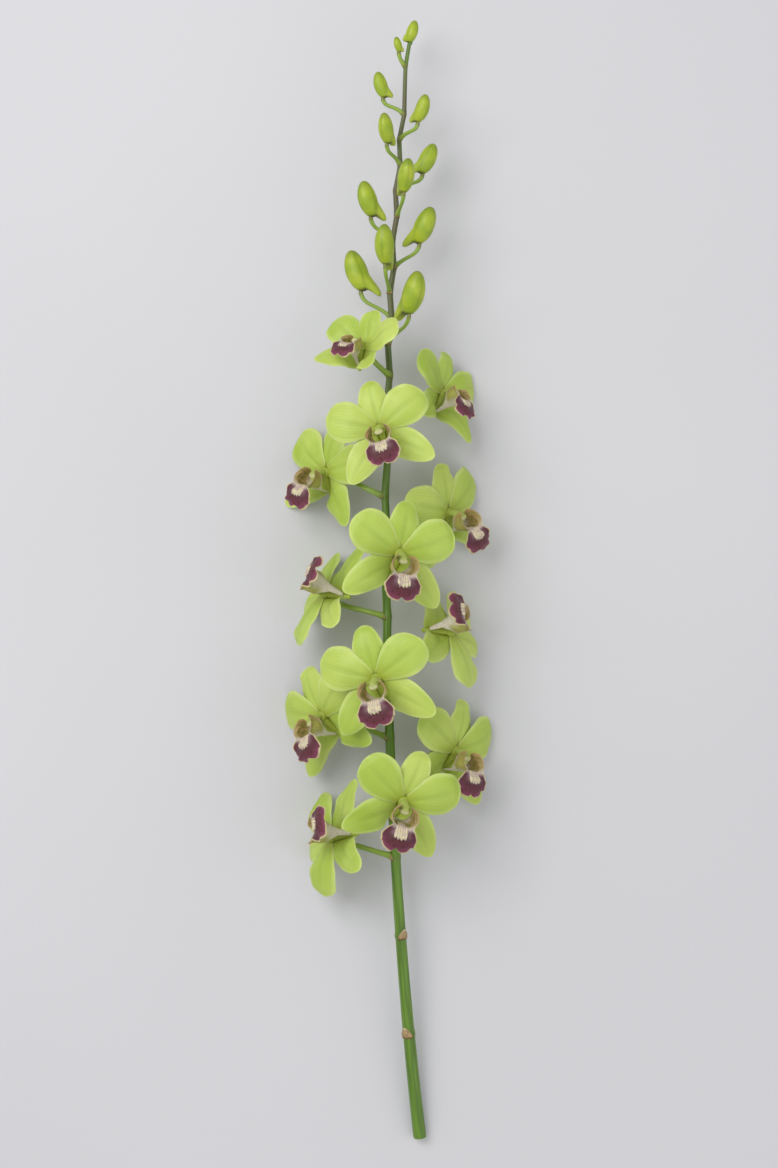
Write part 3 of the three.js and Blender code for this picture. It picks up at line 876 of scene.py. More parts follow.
@dataclass
class Lip:
    """One lip: its narrow claw, two side lobes beside the column and a frilled front lobe."""

    index: int
    size: float
    half_spread: float = 0.017
    roll_spread: float = 0.02
    line_spread: float = 0.022
    widest: float = 0.77
    tip_round: float = 2.1
    front_half: float = 9.8
    front_at: Pair = (0.6, 0.72)
    lobe_at: float = 0.7
    lobe_width: float = 0.45
    lobe_depth: float = 1.0
    cleft_width: float = 0.24
    cleft_depth: float = 2.2
    cleft_stray: float = 0.06
    crimps_per_turn: float = 13.0
    crimp_depth: float = 0.18
    ruffles_per_turn: float = 7.0
    ruffle_crimp: float = 0.4
    frill: float = 0.9
    notch: float = 0.3
    notch_width: float = 0.16
    notch_stray: float = 0.12
    side_lobes: Row = (0.3, 0.4, 0.56, 0.62)
    side_frill: float = 0.35
    side_waves: float = 52.0
    flare: float = 2.3
    flare_at: Row = (0.45, 0.57, 0.575, 0.625)
    flare_side: Pair = (0.35, 1.0)
    corner: float = 0.8
    corner_at: Pair = (0.15, 0.65)
    keels: int = 5
    keel_gap: float = 1.45
    keel_width: float = 0.5
    keel_height: float = 0.6
    keel_foot: float = 0.35
    tooth: float = 0.013
    tooth_waves: Pair = (3.1, 5.9)
    fine_tooth: float = 0.7
    callus_at: Pair = (0.3, 0.44)
    callus_half: Pair = (2.4, 3.9)
    callus_widens: Pair = (0.5, 0.68)
    callus_side: Pair = (-0.7, 0.4)
    callus_end: float = 0.768
    callus_fade: float = 0.018
    callus_round: float = 0.03
    tuft_height: float = 1.0
    tuft_back: float = 0.045
    tuft_width: float = 0.04
    side_mask: Row = (0.3, 0.42, 0.57, 0.63)
    front_mask: Pair = (0.585, 0.66)
    tuft_mask: Pair = (0.6, 0.68)
    claw_thickness: float = 0.95
    rim_thickness: float = 0.42
    thins: Pair = (0.1, 0.5)
    columns: int = 61
    row_ends: Pair = (0.3, 0.64)
    row_counts: tuple[int, ...] = (16, 36, 40)

    def __post_init__(self) -> None:
        """Makes smooth readings of the midline, the half width and the roll."""
        at = [row.at for row in LIP_ROWS]
        self.half_at = eased(at, [row.half for row in LIP_ROWS], self.half_spread)
        self.roll_at = eased(at, [row.roll for row in LIP_ROWS], self.roll_spread)
        line = np.array(LIP_LINE)
        knots = np.concatenate([[0.0], np.cumsum(np.linalg.norm(np.diff(line, axis=0), axis=1))])
        self.length = float(knots[-1])
        self.line_at = [eased(knots / knots[-1], row, self.line_spread) for row in line.T]

    def _margin(self, u: Array, v: Array) -> tuple[Array, Array]:
        """Where a point lies, as seen from the middle of the front lobe.

        Args:
            u: From side to side.
            v: From root to tip.

        Returns:
            How near the rim it lies, from 0 to 1, and how far round the rim it is.
        """
        onward = past(v, self.widest)
        sideways = u * fallen(onward, self.tip_round)
        near = np.sqrt(sideways**2 + onward**2)
        before = (self.widest - np.minimum(v, self.widest)) * self.length / self.front_half
        beyond = np.arctan2(np.abs(sideways), onward + 1e-9)
        return near, np.where(onward > 0.0, beyond, math.pi / 2 + before) * np.sign(u + 1e-9)

    def _section(self, u: Array, roll: Array, corner: Array) -> tuple[Array, Array]:
        """The lip's cross-section for a half width of 1.

        Args:
            u: From side to side.
            roll: How far the edge has turned up, in radians.
            corner: How much of that turn is made at the foot of a side lobe.

        Returns:
            How far sideways and how far up each point lies.
        """
        knots, weights = np.polynomial.legendre.leggauss(10)
        s = np.abs(u)[..., None] * (knots + 1.0) / 2.0
        turned = mix(s, smooth(s, *self.corner_at), corner[..., None])
        heading = roll[..., None] * turned
        sideways = (np.cos(heading) * weights).sum(-1) * u / 2.0
        return sideways, (np.sin(heading) * weights).sum(-1) * np.abs(u) / 2.0

    def sheet(self, u: Array, v: Array) -> Array:
        """The lip's middle surface.

        Args:
            u: From side to side.
            v: From root to tip.

        Returns:
            Its points.
        """
        step = 4e-3
        slope = unit(np.stack([at(v + step) - at(v - step) for at in self.line_at], axis=-1))
        y, z = (at(v) for at in self.line_at)
        near, turn = self._margin(u, v)
        front, lobes = smooth(v, *self.front_at), window(v, *self.side_lobes)
        phase = 2.0 * draw(self.index, Trait.LIP_FRILL)
        cleft = self.cleft_depth * bell(turn, self.cleft_stray * phase, self.cleft_width)
        broad = bell(np.abs(turn), self.lobe_at, self.lobe_width) - cleft
        crimps = np.sin(self.crimps_per_turn * turn + phase)
        swell = front * (self.lobe_depth * broad * near**3 + self.crimp_depth * crimps * near**8)
        half = self.half_at(v) * fallen(past(v, self.widest), self.tip_round)
        half = half * (1.0 + swell / self.front_half)
        sideways, upward = self._section(u, np.radians(self.roll_at(v)), self.corner * lobes)
        ruffle = np.sin(self.ruffles_per_turn * turn + phase) + self.ruffle_crimp * crimps
        rise = half * upward + self.frill * front * ruffle * near**4
        rise = rise + self.side_frill * lobes * np.abs(u) ** 6 * np.sin(self.side_waves * v + phase)
        flare = self.flare * window(v, *self.flare_at) * smooth(np.abs(u), *self.flare_side)
        notch = bell(turn, self.notch_stray * phase, self.notch_width)
        notch = notch * self.notch * (1.0 + draw(self.index, Trait.LIP_NOTCH))
        dip = front * notch * near**6 - swell * np.cos(np.minimum(np.abs(turn), math.pi / 2))
        return np.stack([
            -half * sideways - flare * np.sign(u),
            y + rise * slope[..., 1] - dip * slope[..., 0],
            z - rise * slope[..., 0] - dip * slope[..., 1],
        ], axis=-1)

    def _thickness(self, u: Array, v: Array) -> Array:
        """The lip is fleshy at its claw and thin at its rim."""
        thin = np.maximum(smooth(v, *self.thins), np.abs(u))
        return mix(self.claw_thickness, self.rim_thickness, thin) * fallen(np.abs(u), 10)

    def _callus(self, x: Array, v: Array) -> tuple[Array, Array, Array]:
        """The raised tongue along the middle of the lip.

        Args:
            x: The distance from the lip's midline.
            v: The share of its length.

        Returns:
            How high it stands, its mask and its keels, both from 0 to 1.
        """
        middles = (np.arange(self.keels) - (self.keels - 1) / 2) * self.keel_gap
        keels = sum(bell(x, middle, self.keel_width) for middle in middles)
        half = mix(*self.callus_half, smooth(v, *self.callus_widens))
        phase = 3.0 * draw(self.index, Trait.LIP_TEETH)
        broad, fine = self.tooth_waves
        teeth = np.sin(broad * x + phase) + self.fine_tooth * np.sin(fine * x + 2.0 * phase)
        tip = self.callus_end + self.tooth * teeth
        tip = tip - self.callus_round * np.minimum(1.0, np.abs(x) / half) ** 2
        mask = window(v, *self.callus_at, tip, tip + self.callus_fade)
        mask = mask * (1.0 - smooth(np.abs(x) - half, *self.callus_side))
        tuft = self.tuft_height * bell(v, self.callus_end - self.tuft_back, self.tuft_width) * mask
        height = mask * (self.keel_foot + self.keel_height * keels)
        return height + tuft * mix(self.keel_foot, 1.0, keels), mask, np.minimum(keels, 1.0)

    def solid(self) -> Solid:
        """The whole lip about the bloom's heart, with the masks its finish reads."""
        claw_end, lobe_end = self.row_ends
        claw_rows, lobe_rows, front_rows = self.row_counts
        along = np.concatenate([
            np.linspace(0.0, claw_end, claw_rows, endpoint=False),
            np.linspace(claw_end, lobe_end, lobe_rows, endpoint=False),
            mix(lobe_end, 1.0, np.sin(np.linspace(0.0, math.pi / 2, front_rows))),
        ])
        solid = blade(self.sheet, self.columns, along, self._thickness)
        u, v, inner = (solid.layers[name] for name in ("across", "along", "inner"))
        height, mask, keels = self._callus(u * self.half_at(v), v)
        front, back = np.split(solid.points, 2)
        rim = (np.linalg.norm(front - back, axis=1) < 1e-6)[:, None]
        front += np.where(rim, 0.0, unit(front - back)) * height[:len(front), None]
        solid.layers |= {
            "edge": np.where(v > self.widest, self._margin(u, v)[0], np.abs(u)),
            "side_lobe": window(v, *self.side_mask),
            "front_lobe": smooth(v, *self.front_mask),
            "callus": mask * inner,
            "keel": keels,
            "tuft": mask * inner * smooth(v, *self.tuft_mask),
        }
        root = self.sheet(np.zeros((1, 1)), np.zeros((1, 1)))[0, 0]
        solid.points = (solid.points - root) * self.size + root
        return solid


@dataclass
class Bud:
    """One closed bud: a boot with a blunt heel at its foot and three seams up to its tip."""

    index: int
    habit: Habit
    first: Row = (24.0, 12.6, 4.6, 9.0)
    last: Row = (12.5, 6.2, 1.4, 1.0)
    late_size: float = 0.62
    fullness: float = 0.46
    belly: float = 0.95
    flatness: float = 0.9
    offset: float = 0.16
    heel_at: float = 0.2
    heel_spread: float = 0.128
    heel_broad: Pair = (0.4, 0.95)
    seam_depth: float = 0.045
    seam_width: float = 0.008
    seams: Row = (90.0, 205.0, 335.0)
    seam_from: Pair = (0.1, 0.3)
    bend: float = 0.08

    def __post_init__(self) -> None:
        """Finds this bud's length, width, heel and its drop between the first bud's and the last's."""
        share = self.index / self.habit.crown
        late = self.late_size if self.index == self.habit.late else 1.0
        sizes = [mix(a, b, share) * late for a, b in zip(self.first, self.last)]
        self.length, self.width, self.heel, self.drop = sizes

    def solid(self, sides: int = 44, rows: int = 56, detail: float = 1.0) -> Solid:
        """The bud about the end of its stalk, pointing along +Z.

        Args:
            sides: Points in a ring.
            rows: Rings, with the pole at either end.
            detail: 1 for the seams and the slight bend, 0 for the plain form.

        Returns:
            The bud, with the layers its finish reads.
        """
        share = 0.5 - 0.5 * np.cos(np.linspace(0.0, math.pi, rows))
        v, angle = np.meshgrid(share, circle(sides), indexing="ij")
        radius = self.width / 2 * np.maximum(0.0, np.sin(math.pi * v**self.belly)) ** self.fullness
        seam = sum(bell(np.cos(angle - math.radians(at)), 1.0, self.seam_width) for at in self.seams)
        seam = seam * smooth(v, *self.seam_from)
        radius = radius * (1.0 - detail * self.seam_depth * seam)
        heel = np.exp(-(((v - self.heel_at) / self.heel_spread) ** 4))
        heel = heel * smooth(-np.sin(angle), *self.heel_broad)
        bend = detail * self.width * self.bend * np.sin(math.pi * v) * draw(self.index, Trait.BUD_BEND)
        rings = np.stack([
            radius * np.cos(angle) * self.flatness + bend,
            radius * np.sin(angle) - self.heel * heel - self.width * self.offset * (1.0 - v) ** 2,
            self.length * v - self.drop * heel,
        ], axis=-1)
        rings[0], rings[-1] = 0.0, self.length * UP
        solid = loft(rings, share)
        solid.layers |= {"seam": seam.ravel(), "heel": heel.ravel()}
        solid.layers["tone"] = np.full(seam.size, draw(self.index, Trait.BUD_TONE))
        return solid


@dataclass
class Wiring:
    """Adds nodes to a tree and wires them, for shaders and for geometry alike."""

    tree: bpy.types.NodeTree

    def node(self, kind: str, wires: Wires, **options: object) -> bpy.types.Node:
        """Adds a node.

        Args:
            kind: The node's type.
            wires: A socket to link or a value to set, by the input's name or number.
            options: The node's own settings.

        Returns:
            The node.
        """
        node = self.tree.nodes.new(kind)
        for name, value in options.items():
            setattr(node, name, value)
        for key, value in wires.items():
            if isinstance(value, bpy.types.NodeSocket):
                self.tree.links.new(value, node.inputs[key])
            else:
                node.inputs[key].default_value = value
        return node

    def first(self, kind: str, wires: Wires, **options: object) -> Socket:
        """Adds a node and gives its first output."""
        return self.node(kind, wires, **options).outputs[0]

    def maths(self, operation: str, a: object, b: object = 0.0) -> Socket:
        """One operation on two numbers."""
        return self.first("ShaderNodeMath", {0: a, 1: b}, operation=operation)

    def times(self, product: object, *factors: object) -> Socket:
        """Numbers multiplied."""
        for factor in factors:
            product = self.maths("MULTIPLY", product, factor)
        return product

    def parts(self, vector: object) -> Sequence[Socket]:
        """The three numbers of a direction."""
        return self.node("ShaderNodeSeparateXYZ", {0: vector}).outputs


class Paint(Wiring):
    """The nodes of one finish, with words for what the finishes have in common."""

    def __init__(self, name: str, **shine: object) -> None:
        """Starts a material.

        Args:
            name: The finish's name.
            shine: What is set on the shader's own sockets, with _ for a space.
        """
        self.material = bpy.data.materials.new(name)
        self.material.use_nodes = True
        super().__init__(self.material.node_tree)
        self.tree.nodes.clear()
        wires = {key.replace("_", " "): value for key, value in shine.items()}
        self.shader = self.node("ShaderNodeBsdfPrincipled", wires)
        self.node("ShaderNodeOutputMaterial", {"Surface": self.shader.outputs["BSDF"]})
        self.place = self.node("ShaderNodeTexCoord", {}).outputs["Object"]

    def layers(self, names: str, output: str = "Fac") -> list[Socket]:
        """Numbers or directions that the mesh carries, by their names with a space between."""
        found = [self.node("ShaderNodeAttribute", {}, attribute_name=name) for name in names.split()]
        return [node.outputs[output] for node in found]

    def rise(self, value: object, low: float, high: float, start: float = 0.0, end: float = 1.0) -> Socket:
        """Eases from start to end as a value goes from low to high."""
        wires = {0: value, 1: low, 2: high, 3: start, 4: end}
        return self.first("ShaderNodeMapRange", wires, interpolation_type="SMOOTHSTEP")

    def noise(self, scale: float, detail: float = 3.0, at: tuple[object, ...] = ()) -> Socket:
        """Soft noise about 0.5, with scale in waves per metre on the object's own coordinates."""
        place = self.first("ShaderNodeCombineXYZ", dict(enumerate(at))) if at else self.place
        return self.first("ShaderNodeTexNoise", {"Vector": place, "Scale": scale, "Detail": detail})

    def specks(self, scale: float, radius: float) -> Socket:
        """Small soft dots.

        Args:
            scale: Cells for each metre, with a dot in each.
            radius: The dots' radius, as a share of a cell.

        Returns:
            1 inside the dots and 0 outside.
        """
        wires = {"Vector": self.place, "Scale": scale}
        distance = self.node("ShaderNodeTexVoronoi", wires).outputs["Distance"]
        return self.rise(distance, radius * 0.55, radius, 1.0, 0.0)

    def coats(self, colour: Colour | Socket, *coats: tuple[Colour | Socket, object]) -> Socket:
        """Lays colours over one another. A plain colour is given as three numbers.

        Args:
            colour: The lowest colour.
            coats: The colours over it, each with how much of it shows.

        Returns:
            The colour on top.
        """
        for over, share in coats:
            under, over = ((*c, 1.0) if isinstance(c, tuple) else c for c in (colour, over))
            wires = {0: share, 6: under, 7: over}
            colour = self.node("ShaderNodeMix", wires, data_type="RGBA").outputs[2]
        return colour

    def finish(
        self, colour: Socket, height: Socket, depth: float, roughness: Socket | None = None,
    ) -> Material:
        """Wires the colour, the fine relief and the roughness to the shader.

        Args:
            colour: The colour.
            height: The relief, from 0 to 1.
            depth: How deep that relief is, in metres.
            roughness: Where it varies over the surface.

        Returns:
            The material.
        """
        bump = self.first("ShaderNodeBump", {"Height": height, "Distance": depth, "Strength": 1.0})
        wires = {"Base Color": colour, "Normal": bump, "Roughness": roughness}
        for name, socket in wires.items():
            if socket is not None:
                self.tree.links.new(socket, self.shader.inputs[name])
        return self.material


@dataclass(frozen=True)
class TepalFinish:
    """Waxy lime green flesh with pale rims, faint veins and a few brown specks."""

    lime: Colour = srgb(182, 205, 90)
    fresh: Colour = srgb(165, 190, 65)
    sunny: Colour = srgb(198, 213, 106)
    back: Colour = srgb(190, 208, 110)
    rim: Colour = srgb(214, 225, 150)
    # The heart colour is the darker, yellower colour at the tepals' base: partly their own colour there,
    # partly painted shade where the tepals meet at the heart of the bloom.
    heart: Colour = srgb(160, 172, 56)
    vein: Colour = srgb(146, 170, 64)
    speck: Colour = srgb(120, 92, 48)
    column: Colour = srgb(170, 184, 92)
    cap: Colour = srgb(216, 216, 160)
    stigma: Colour = srgb(170, 142, 104)
    vein_count: float = 6.5
    vein_stray: float = 0.07

    def material(self) -> Material:
        """The tepals' and the column's one material."""
        paint = Paint(
            "tepal_flesh", Roughness=0.46, Specular_IOR_Level=0.42, Subsurface_Weight=0.22,
            Subsurface_Radius=(0.7, 1.0, 0.25), Subsurface_Scale=0.0012,
        )
        along, across, inner, edge, tone = paint.layers("along across inner edge tone")
        column, stigma, cap = paint.layers("column stigma cap")
        cloud = paint.noise(55.0, 4.0)
        strayed = paint.maths("ADD", across, paint.times(paint.noise(90.0, 2.0), self.vein_stray))
        wave = paint.maths("COSINE", paint.times(strayed, 2 * math.pi * self.vein_count))
        inland = paint.times(paint.rise(edge, 0.72, 0.98, 1.0, 0.0), paint.rise(along, 0.0, 0.12))
        veins = paint.times(paint.rise(wave, -0.2, 1.0), inland)
        middle = paint.rise(paint.maths("ABSOLUTE", across), 0.03, 0.22, 0.28, 0.0)
        sparse = paint.rise(paint.noise(31.0, 2.0), 0.6, 0.72)
        colour = paint.coats(
            self.lime,
            (self.fresh, paint.rise(cloud, 0.32, 0.68)),
            (self.sunny, paint.rise(paint.noise(24.0, 2.0), 0.4, 0.66, 0.0, 0.7)),
            (self.fresh, paint.rise(tone, 0.0, 1.0, 0.0, 0.6)),
            (self.sunny, paint.rise(tone, -1.0, 0.0, 0.5, 0.0)),
            (self.back, paint.rise(inner, 0.4, 0.6, 0.55, 0.0)),
            (self.vein, paint.times(veins, 0.1)),
            (self.vein, paint.times(middle, paint.rise(along, 0.5, 1.0, 1.0, 0.2))),
            # Darker and greener towards the base: partly the tepals' own colour, partly painted shade where
            # they meet at the heart.
            (self.fresh, paint.rise(along, 0.1, 0.6, 0.35, 0.0)),
            (self.heart, paint.rise(along, 0.03, 0.26, 0.8, 0.0)),
            (self.rim, paint.rise(edge, 0.7, 1.0, 0.0, 0.45)),
            (self.speck, paint.times(paint.specks(460.0, 0.15), sparse, 0.5)),
            (self.column, column),
            (self.stigma, stigma),
            (self.cap, cap),
        )
        height = paint.maths("ADD", paint.times(paint.noise(1500.0, 2.0), 0.35), paint.times(veins, -0.22))
        return paint.finish(colour, height, 0.0001, paint.rise(cloud, 0.3, 0.7, 0.4, 0.54))


@dataclass(frozen=True)
class LipFinish:
    """Maroon velvet on the front lobe, speckled olive and beige on the side lobes, a pale callus."""

    maroon: Colour = srgb(112, 46, 58)
    wine: Colour = srgb(72, 26, 32)
    magenta: Colour = srgb(142, 66, 98)
    frill: Colour = srgb(210, 196, 144)
    olive: Colour = srgb(136, 128, 56)
    beige: Colour = srgb(188, 158, 110)
    outside: Colour = srgb(168, 166, 80)
    mottle: Colour = srgb(150, 98, 86)
    # Painted shade: the green laid deep in the throat, where the side lobes close over it.
    throat_shade: Colour = srgb(112, 130, 52)
    claw: Colour = srgb(236, 228, 208)
    freckle: Colour = srgb(158, 116, 96)
    callus: Colour = srgb(226, 216, 176)
    lilac: Colour = srgb(184, 150, 160)

    def material(self) -> Material:
        """The lip's one material."""
        paint = Paint(
            "lip_velvet", Roughness=0.5, Specular_IOR_Level=0.4, Subsurface_Weight=0.15,
            Subsurface_Radius=(1.0, 0.5, 0.4), Subsurface_Scale=0.0009,
            Sheen_Weight=0.12, Sheen_Roughness=0.5, Sheen_Tint=(0.9, 0.7, 0.75, 1.0),
        )
        along, across, inner, edge = paint.layers("along across inner edge")
        lobes, front, callus, keel, bead = paint.layers("side_lobe front_lobe callus keel bead")
        streaks = paint.noise(2.4, 3.0, (paint.times(across, 9.0), paint.times(along, 5.0), 0.0))
        freckles = paint.specks(1100.0, 0.42)
        patchy = paint.rise(paint.noise(210.0, 2.0), 0.38, 0.62)
        inside = paint.rise(inner, 0.4, 0.6)
        blushing = paint.times(paint.rise(edge, 0.45, 0.95), paint.rise(streaks, 0.4, 0.62, 0.25, 0.8))
        hood = paint.coats(
            self.outside,
            (self.claw, paint.rise(edge, 0.1, 0.42, 0.9, 0.0)),
            (self.mottle, paint.times(freckles, patchy, 0.5)),
            (self.mottle, blushing),
            (paint.coats(self.olive, (self.beige, paint.rise(streaks, 0.42, 0.6))), inside),
            (self.beige, paint.rise(edge, 0.86, 0.99, 0.0, 0.8)),
        )
        halo = paint.times(
            paint.rise(paint.maths("ABSOLUTE", across), 0.3, 0.8, 0.75, 0.0),
            paint.rise(along, 0.62, 0.82, 1.0, 0.0),
            paint.rise(streaks, 0.36, 0.58, 0.25, 1.0),
        )
        velvet = paint.coats(
            self.maroon,
            (self.wine, paint.rise(streaks, 0.4, 0.62)),
            (self.magenta, paint.rise(edge, 0.5, 0.9, 0.0, 0.55)),
            (self.wine, paint.rise(along, 0.74, 0.9, 0.7, 0.0)),
            (self.lilac, halo),
            (self.claw, paint.rise(inner, 0.4, 0.6, 0.4, 0.0)),
            (self.frill, paint.rise(edge, 0.89, 0.96, 0.0, 0.9)),
        )
        ridge = paint.coats(
            self.callus,
            (self.lilac, paint.rise(paint.noise(420.0, 2.0), 0.45, 0.65, 0.0, 0.6)),
            (self.lilac, paint.times(
                paint.rise(keel, 0.35, 0.8, 0.75, 0.0), paint.rise(along, 0.6, 0.72, 1.0, 0.15),
            )),
        )
        # The middle of the lip's inner face, which with the reach below places the painted throat shade.
        deep = paint.times(paint.rise(edge, 0.1, 0.45, 0.8, 0.0), inner)
        colour = paint.coats(
            self.claw,
            (self.lilac, paint.rise(streaks, 0.45, 0.62, 0.0, 0.4)),
            (self.freckle, paint.times(freckles, 0.3)),
            (hood, lobes),
            # Painted shade: green deep in the throat under the side lobes.
            (self.throat_shade, paint.times(deep, paint.rise(along, 0.5, 0.62, 1.0, 0.0))),
            (velvet, front),
            (ridge, paint.rise(callus, 0.3, 0.7)),
            (self.callus, bead),
        )
        height = paint.maths("ADD", paint.times(paint.noise(1900.0, 2.0), 0.5), paint.times(streaks, 1.2))
        return paint.finish(colour, height, 0.00016, paint.rise(front, 0.0, 1.0, 0.46, 0.58))


@dataclass(frozen=True)
class BudFinish:
    """Firm yellow green, darker at the tip, the seams and the joint with the stalk."""

    green: Colour = srgb(176, 190, 50)
    fresh: Colour = srgb(148, 172, 38)
    pale: Colour = srgb(190, 200, 76)
    dark: Colour = srgb(110, 132, 32)
    tip: Colour = srgb(132, 124, 58)
    # The joint colour is the dark ring where the stalk meets the bud: partly its own dark joint, partly
    # painted shadow in the notch there.
    joint: Colour = srgb(70, 68, 34)
    speck: Colour = srgb(112, 100, 48)

    def material(self) -> Material:
        """The buds' one material."""
        paint = Paint(
            "bud_skin", Roughness=0.42, Specular_IOR_Level=0.45, Subsurface_Weight=0.2,
            Subsurface_Radius=(0.7, 1.0, 0.25), Subsurface_Scale=0.0015,
        )
        along, seam, heel, tone = paint.layers("along seam heel tone")
        cloud = paint.noise(120.0, 4.0)
        colour = paint.coats(
            self.green,
            (self.fresh, paint.rise(cloud, 0.35, 0.65)),
            (self.fresh, paint.rise(tone, -1.0, 1.0, 0.3, 0.0)),
            (self.pale, paint.times(heel, 0.6)),
            (self.dark, paint.rise(along, 0.7, 1.0, 0.0, 0.6)),
            (self.tip, paint.rise(along, 0.95, 1.0, 0.0, 0.6)),
            (self.dark, paint.times(seam, 0.4)),
            (self.speck, paint.times(paint.specks(900.0, 0.24), 0.3)),
            # Dark ring at the base: a real dark joint, partly painted shadow of the notch where the stalk
            # meets the bud.
            (self.joint, paint.rise(along, 0.02, 0.11, 0.92, 0.0)),
        )
        return paint.finish(colour, paint.noise(900.0), 0.00012, paint.rise(cloud, 0.3, 0.7, 0.36, 0.5))


@dataclass(frozen=True)
class StemFinish:
    """Smooth green with long faint streaks, brownish towards the tip, paler on the stalks."""

    green: Colour = srgb(104, 140, 40)
    deep: Colour = srgb(70, 102, 26)
    bronze: Colour = srgb(98, 90, 66)
    stalk: Colour = srgb(128, 158, 52)
    stalk_pale: Colour = srgb(156, 180, 76)
    joint: Colour = srgb(106, 84, 50)
    pith: Colour = srgb(206, 212, 158)
    fibre: Colour = srgb(150, 160, 90)
    bronze_at: Pair = (0.30, 0.50)
    fresh_tip: Pair = (0.565, 0.585)

    def material(self) -> Material:
        """The stem's and the stalks' one material."""
        paint = Paint(
            "stem_skin", Roughness=0.4, Specular_IOR_Level=0.5, Subsurface_Weight=0.1,
            Subsurface_Radius=(0.5, 1.0, 0.2), Subsurface_Scale=0.001,
        )
        reach, stalk, cut, knee = paint.layers("reach stalk cut knee")
        x, y, _ = paint.parts(*paint.layers("ring", "Vector"))
        streaks = paint.noise(2.6, 4.0, (x, y, paint.times(reach, 14.0)))
        cloud = paint.noise(45.0)
        bronzed = paint.times(
            paint.rise(reach, *self.bronze_at, 0.0, 0.95),
            paint.rise(cloud, 0.25, 0.6, 0.55, 1.0),
            paint.rise(reach, *self.fresh_tip, 1.0, 0.1),
        )
        colour = paint.coats(
            self.green,
            (self.deep, paint.rise(streaks, 0.36, 0.66, 0.0, 0.75)),
            (self.bronze, bronzed),
            (paint.coats(self.stalk, (self.stalk_pale, paint.rise(streaks, 0.38, 0.62))), stalk),
            (self.joint, paint.times(knee, 0.75)),
            (paint.coats(self.pith, (self.fibre, paint.times(paint.specks(2600.0, 0.4), 0.6))), cut),
        )
        height = paint.maths("ADD", paint.times(streaks, 1.4), paint.noise(1400.0, 2.0))
        return paint.finish(colour, height, 0.0001, paint.rise(cloud, 0.3, 0.7, 0.34, 0.48))


@dataclass(frozen=True)
class BractFinish:
    """Dry papery brown, paler to the rim."""

    tan: Colour = srgb(192, 172, 122)
    brown: Colour = srgb(132, 92, 66)
    pale: Colour = srgb(222, 210, 172)

    def material(self) -> Material:
        """The bracts' one material."""
        paint = Paint("bract_paper", Roughness=0.72, Specular_IOR_Level=0.3)
        along, across = paint.layers("along across")
        lines = paint.noise(2.2, 2.0, (paint.times(across, 8.0), along, 0.0))
        colour = paint.coats(
            self.tan,
            (self.brown, paint.rise(lines, 0.4, 0.62)),
            (self.brown, paint.rise(along, 0.0, 0.3, 0.6, 0.0)),
            (self.pale, paint.rise(along, 0.6, 1.0, 0.0, 0.6)),
        )
        return paint.finish(colour, lines, 0.00012)


@dataclass(frozen=True)
class FloorFinish:
    """A plain pale matt surface."""

    pale: Colour = srgb(213, 212, 214)
    shade: Colour = srgb(210, 209, 211)

    def material(self) -> Material:
        """The floor's material."""
        paint = Paint("floor_paper", Roughness=0.85, Specular_IOR_Level=0.2)
        colour = paint.coats(self.pale, (self.shade, paint.rise(paint.noise(3.0, 2.0), 0.3, 0.7)))
        return paint.finish(colour, paint.noise(900.0, 2.0), 0.00005)


class Recipe(Wiring):
    """A geometry node tree with named inputs, which is turned into a plain mesh."""

    def __init__(self, name: str) -> None:
        """Starts a tree with its geometry going in.

        Args:
            name: The tree's name.
        """
        super().__init__(bpy.data.node_groups.new(name, "GeometryNodeTree"))
        self.tree.is_modifier = True
        self._socket("Geometry", "INPUT", "NodeSocketGeometry")
        self._socket("Geometry", "OUTPUT", "NodeSocketGeometry")
        self.inputs: dict[str, str] = {}
        self.source = self.node("NodeGroupInput", {})

    def _socket(self, name: str, side: str, kind: str) -> bpy.types.NodeTreeInterfaceSocket:
        """Adds a socket to the tree's own face."""
        return self.tree.interface.new_socket(name, in_out=side, socket_type=kind)

    def size(self, name: str, kind: str = "NodeSocketFloat") -> Socket:
        """Adds a named input and gives its socket inside the tree."""
        self.inputs[name] = self._socket(name, "INPUT", kind).identifier
        return self.source.outputs[name]

    def layer(self, name: str, kind: str = "FLOAT") -> Socket:
        """A named attribute of the geometry."""
        return self.first("GeometryNodeInputNamedAttribute", {"Name": name}, data_type=kind)

    def carrying(self, geometry: Socket, name: str, value: object, kind: str = "FLOAT") -> Socket:
        """The geometry with one more named attribute on its points."""
        wires = {"Geometry": geometry, "Name": name, "Value": value}
        return self.first("GeometryNodeStoreNamedAttribute", wires, data_type=kind, domain="POINT")

    def close(self, geometry: Socket, finish: Socket) -> None:
        """Ends the tree: instances are made real and the finish is put on.

        Args:
            geometry: What the tree has grown.
            finish: The input that holds the finish.
        """
        real = self.first("GeometryNodeRealizeInstances", {0: geometry})
        dressed = self.first("GeometryNodeSetMaterial", {"Geometry": real, "Material": finish})
        self.node("NodeGroupOutput", {0: dressed})

    def bake(self, piece: bpy.types.Object, values: dict[str, object]) -> None:
        """Runs the tree on a piece and leaves its result there as a plain mesh.

        Args:
            piece: The object that the tree works on.
            values: The value of each named input.
        """
        modifier = piece.modifiers.new("grown", "NODES")
        modifier.node_group = self.tree
        for name, value in values.items():
            modifier[self.inputs[name]] = value
        bpy.context.view_layer.update()
        graph = bpy.context.evaluated_depsgraph_get()
        mesh = bpy.data.meshes.new_from_object(
            piece.evaluated_get(graph), preserve_all_data_layers=True, depsgraph=graph,
        )
        piece.modifiers.remove(modifier)
        piece.data = mesh


def add_piece(name: str, data: bpy.types.ID, finish: Material | None = None) -> bpy.types.Object:
    """Puts an object into the scene.

    Args:
        name: Its name.
        data: Its mesh, lamp or camera.
        finish: A mesh's finish.

    Returns:
        The object, at the origin.
    """
    piece = bpy.data.objects.new(name, data)
    bpy.context.scene.collection.objects.link(piece)
    if finish is not None:
        data.materials.append(finish)
    return piece


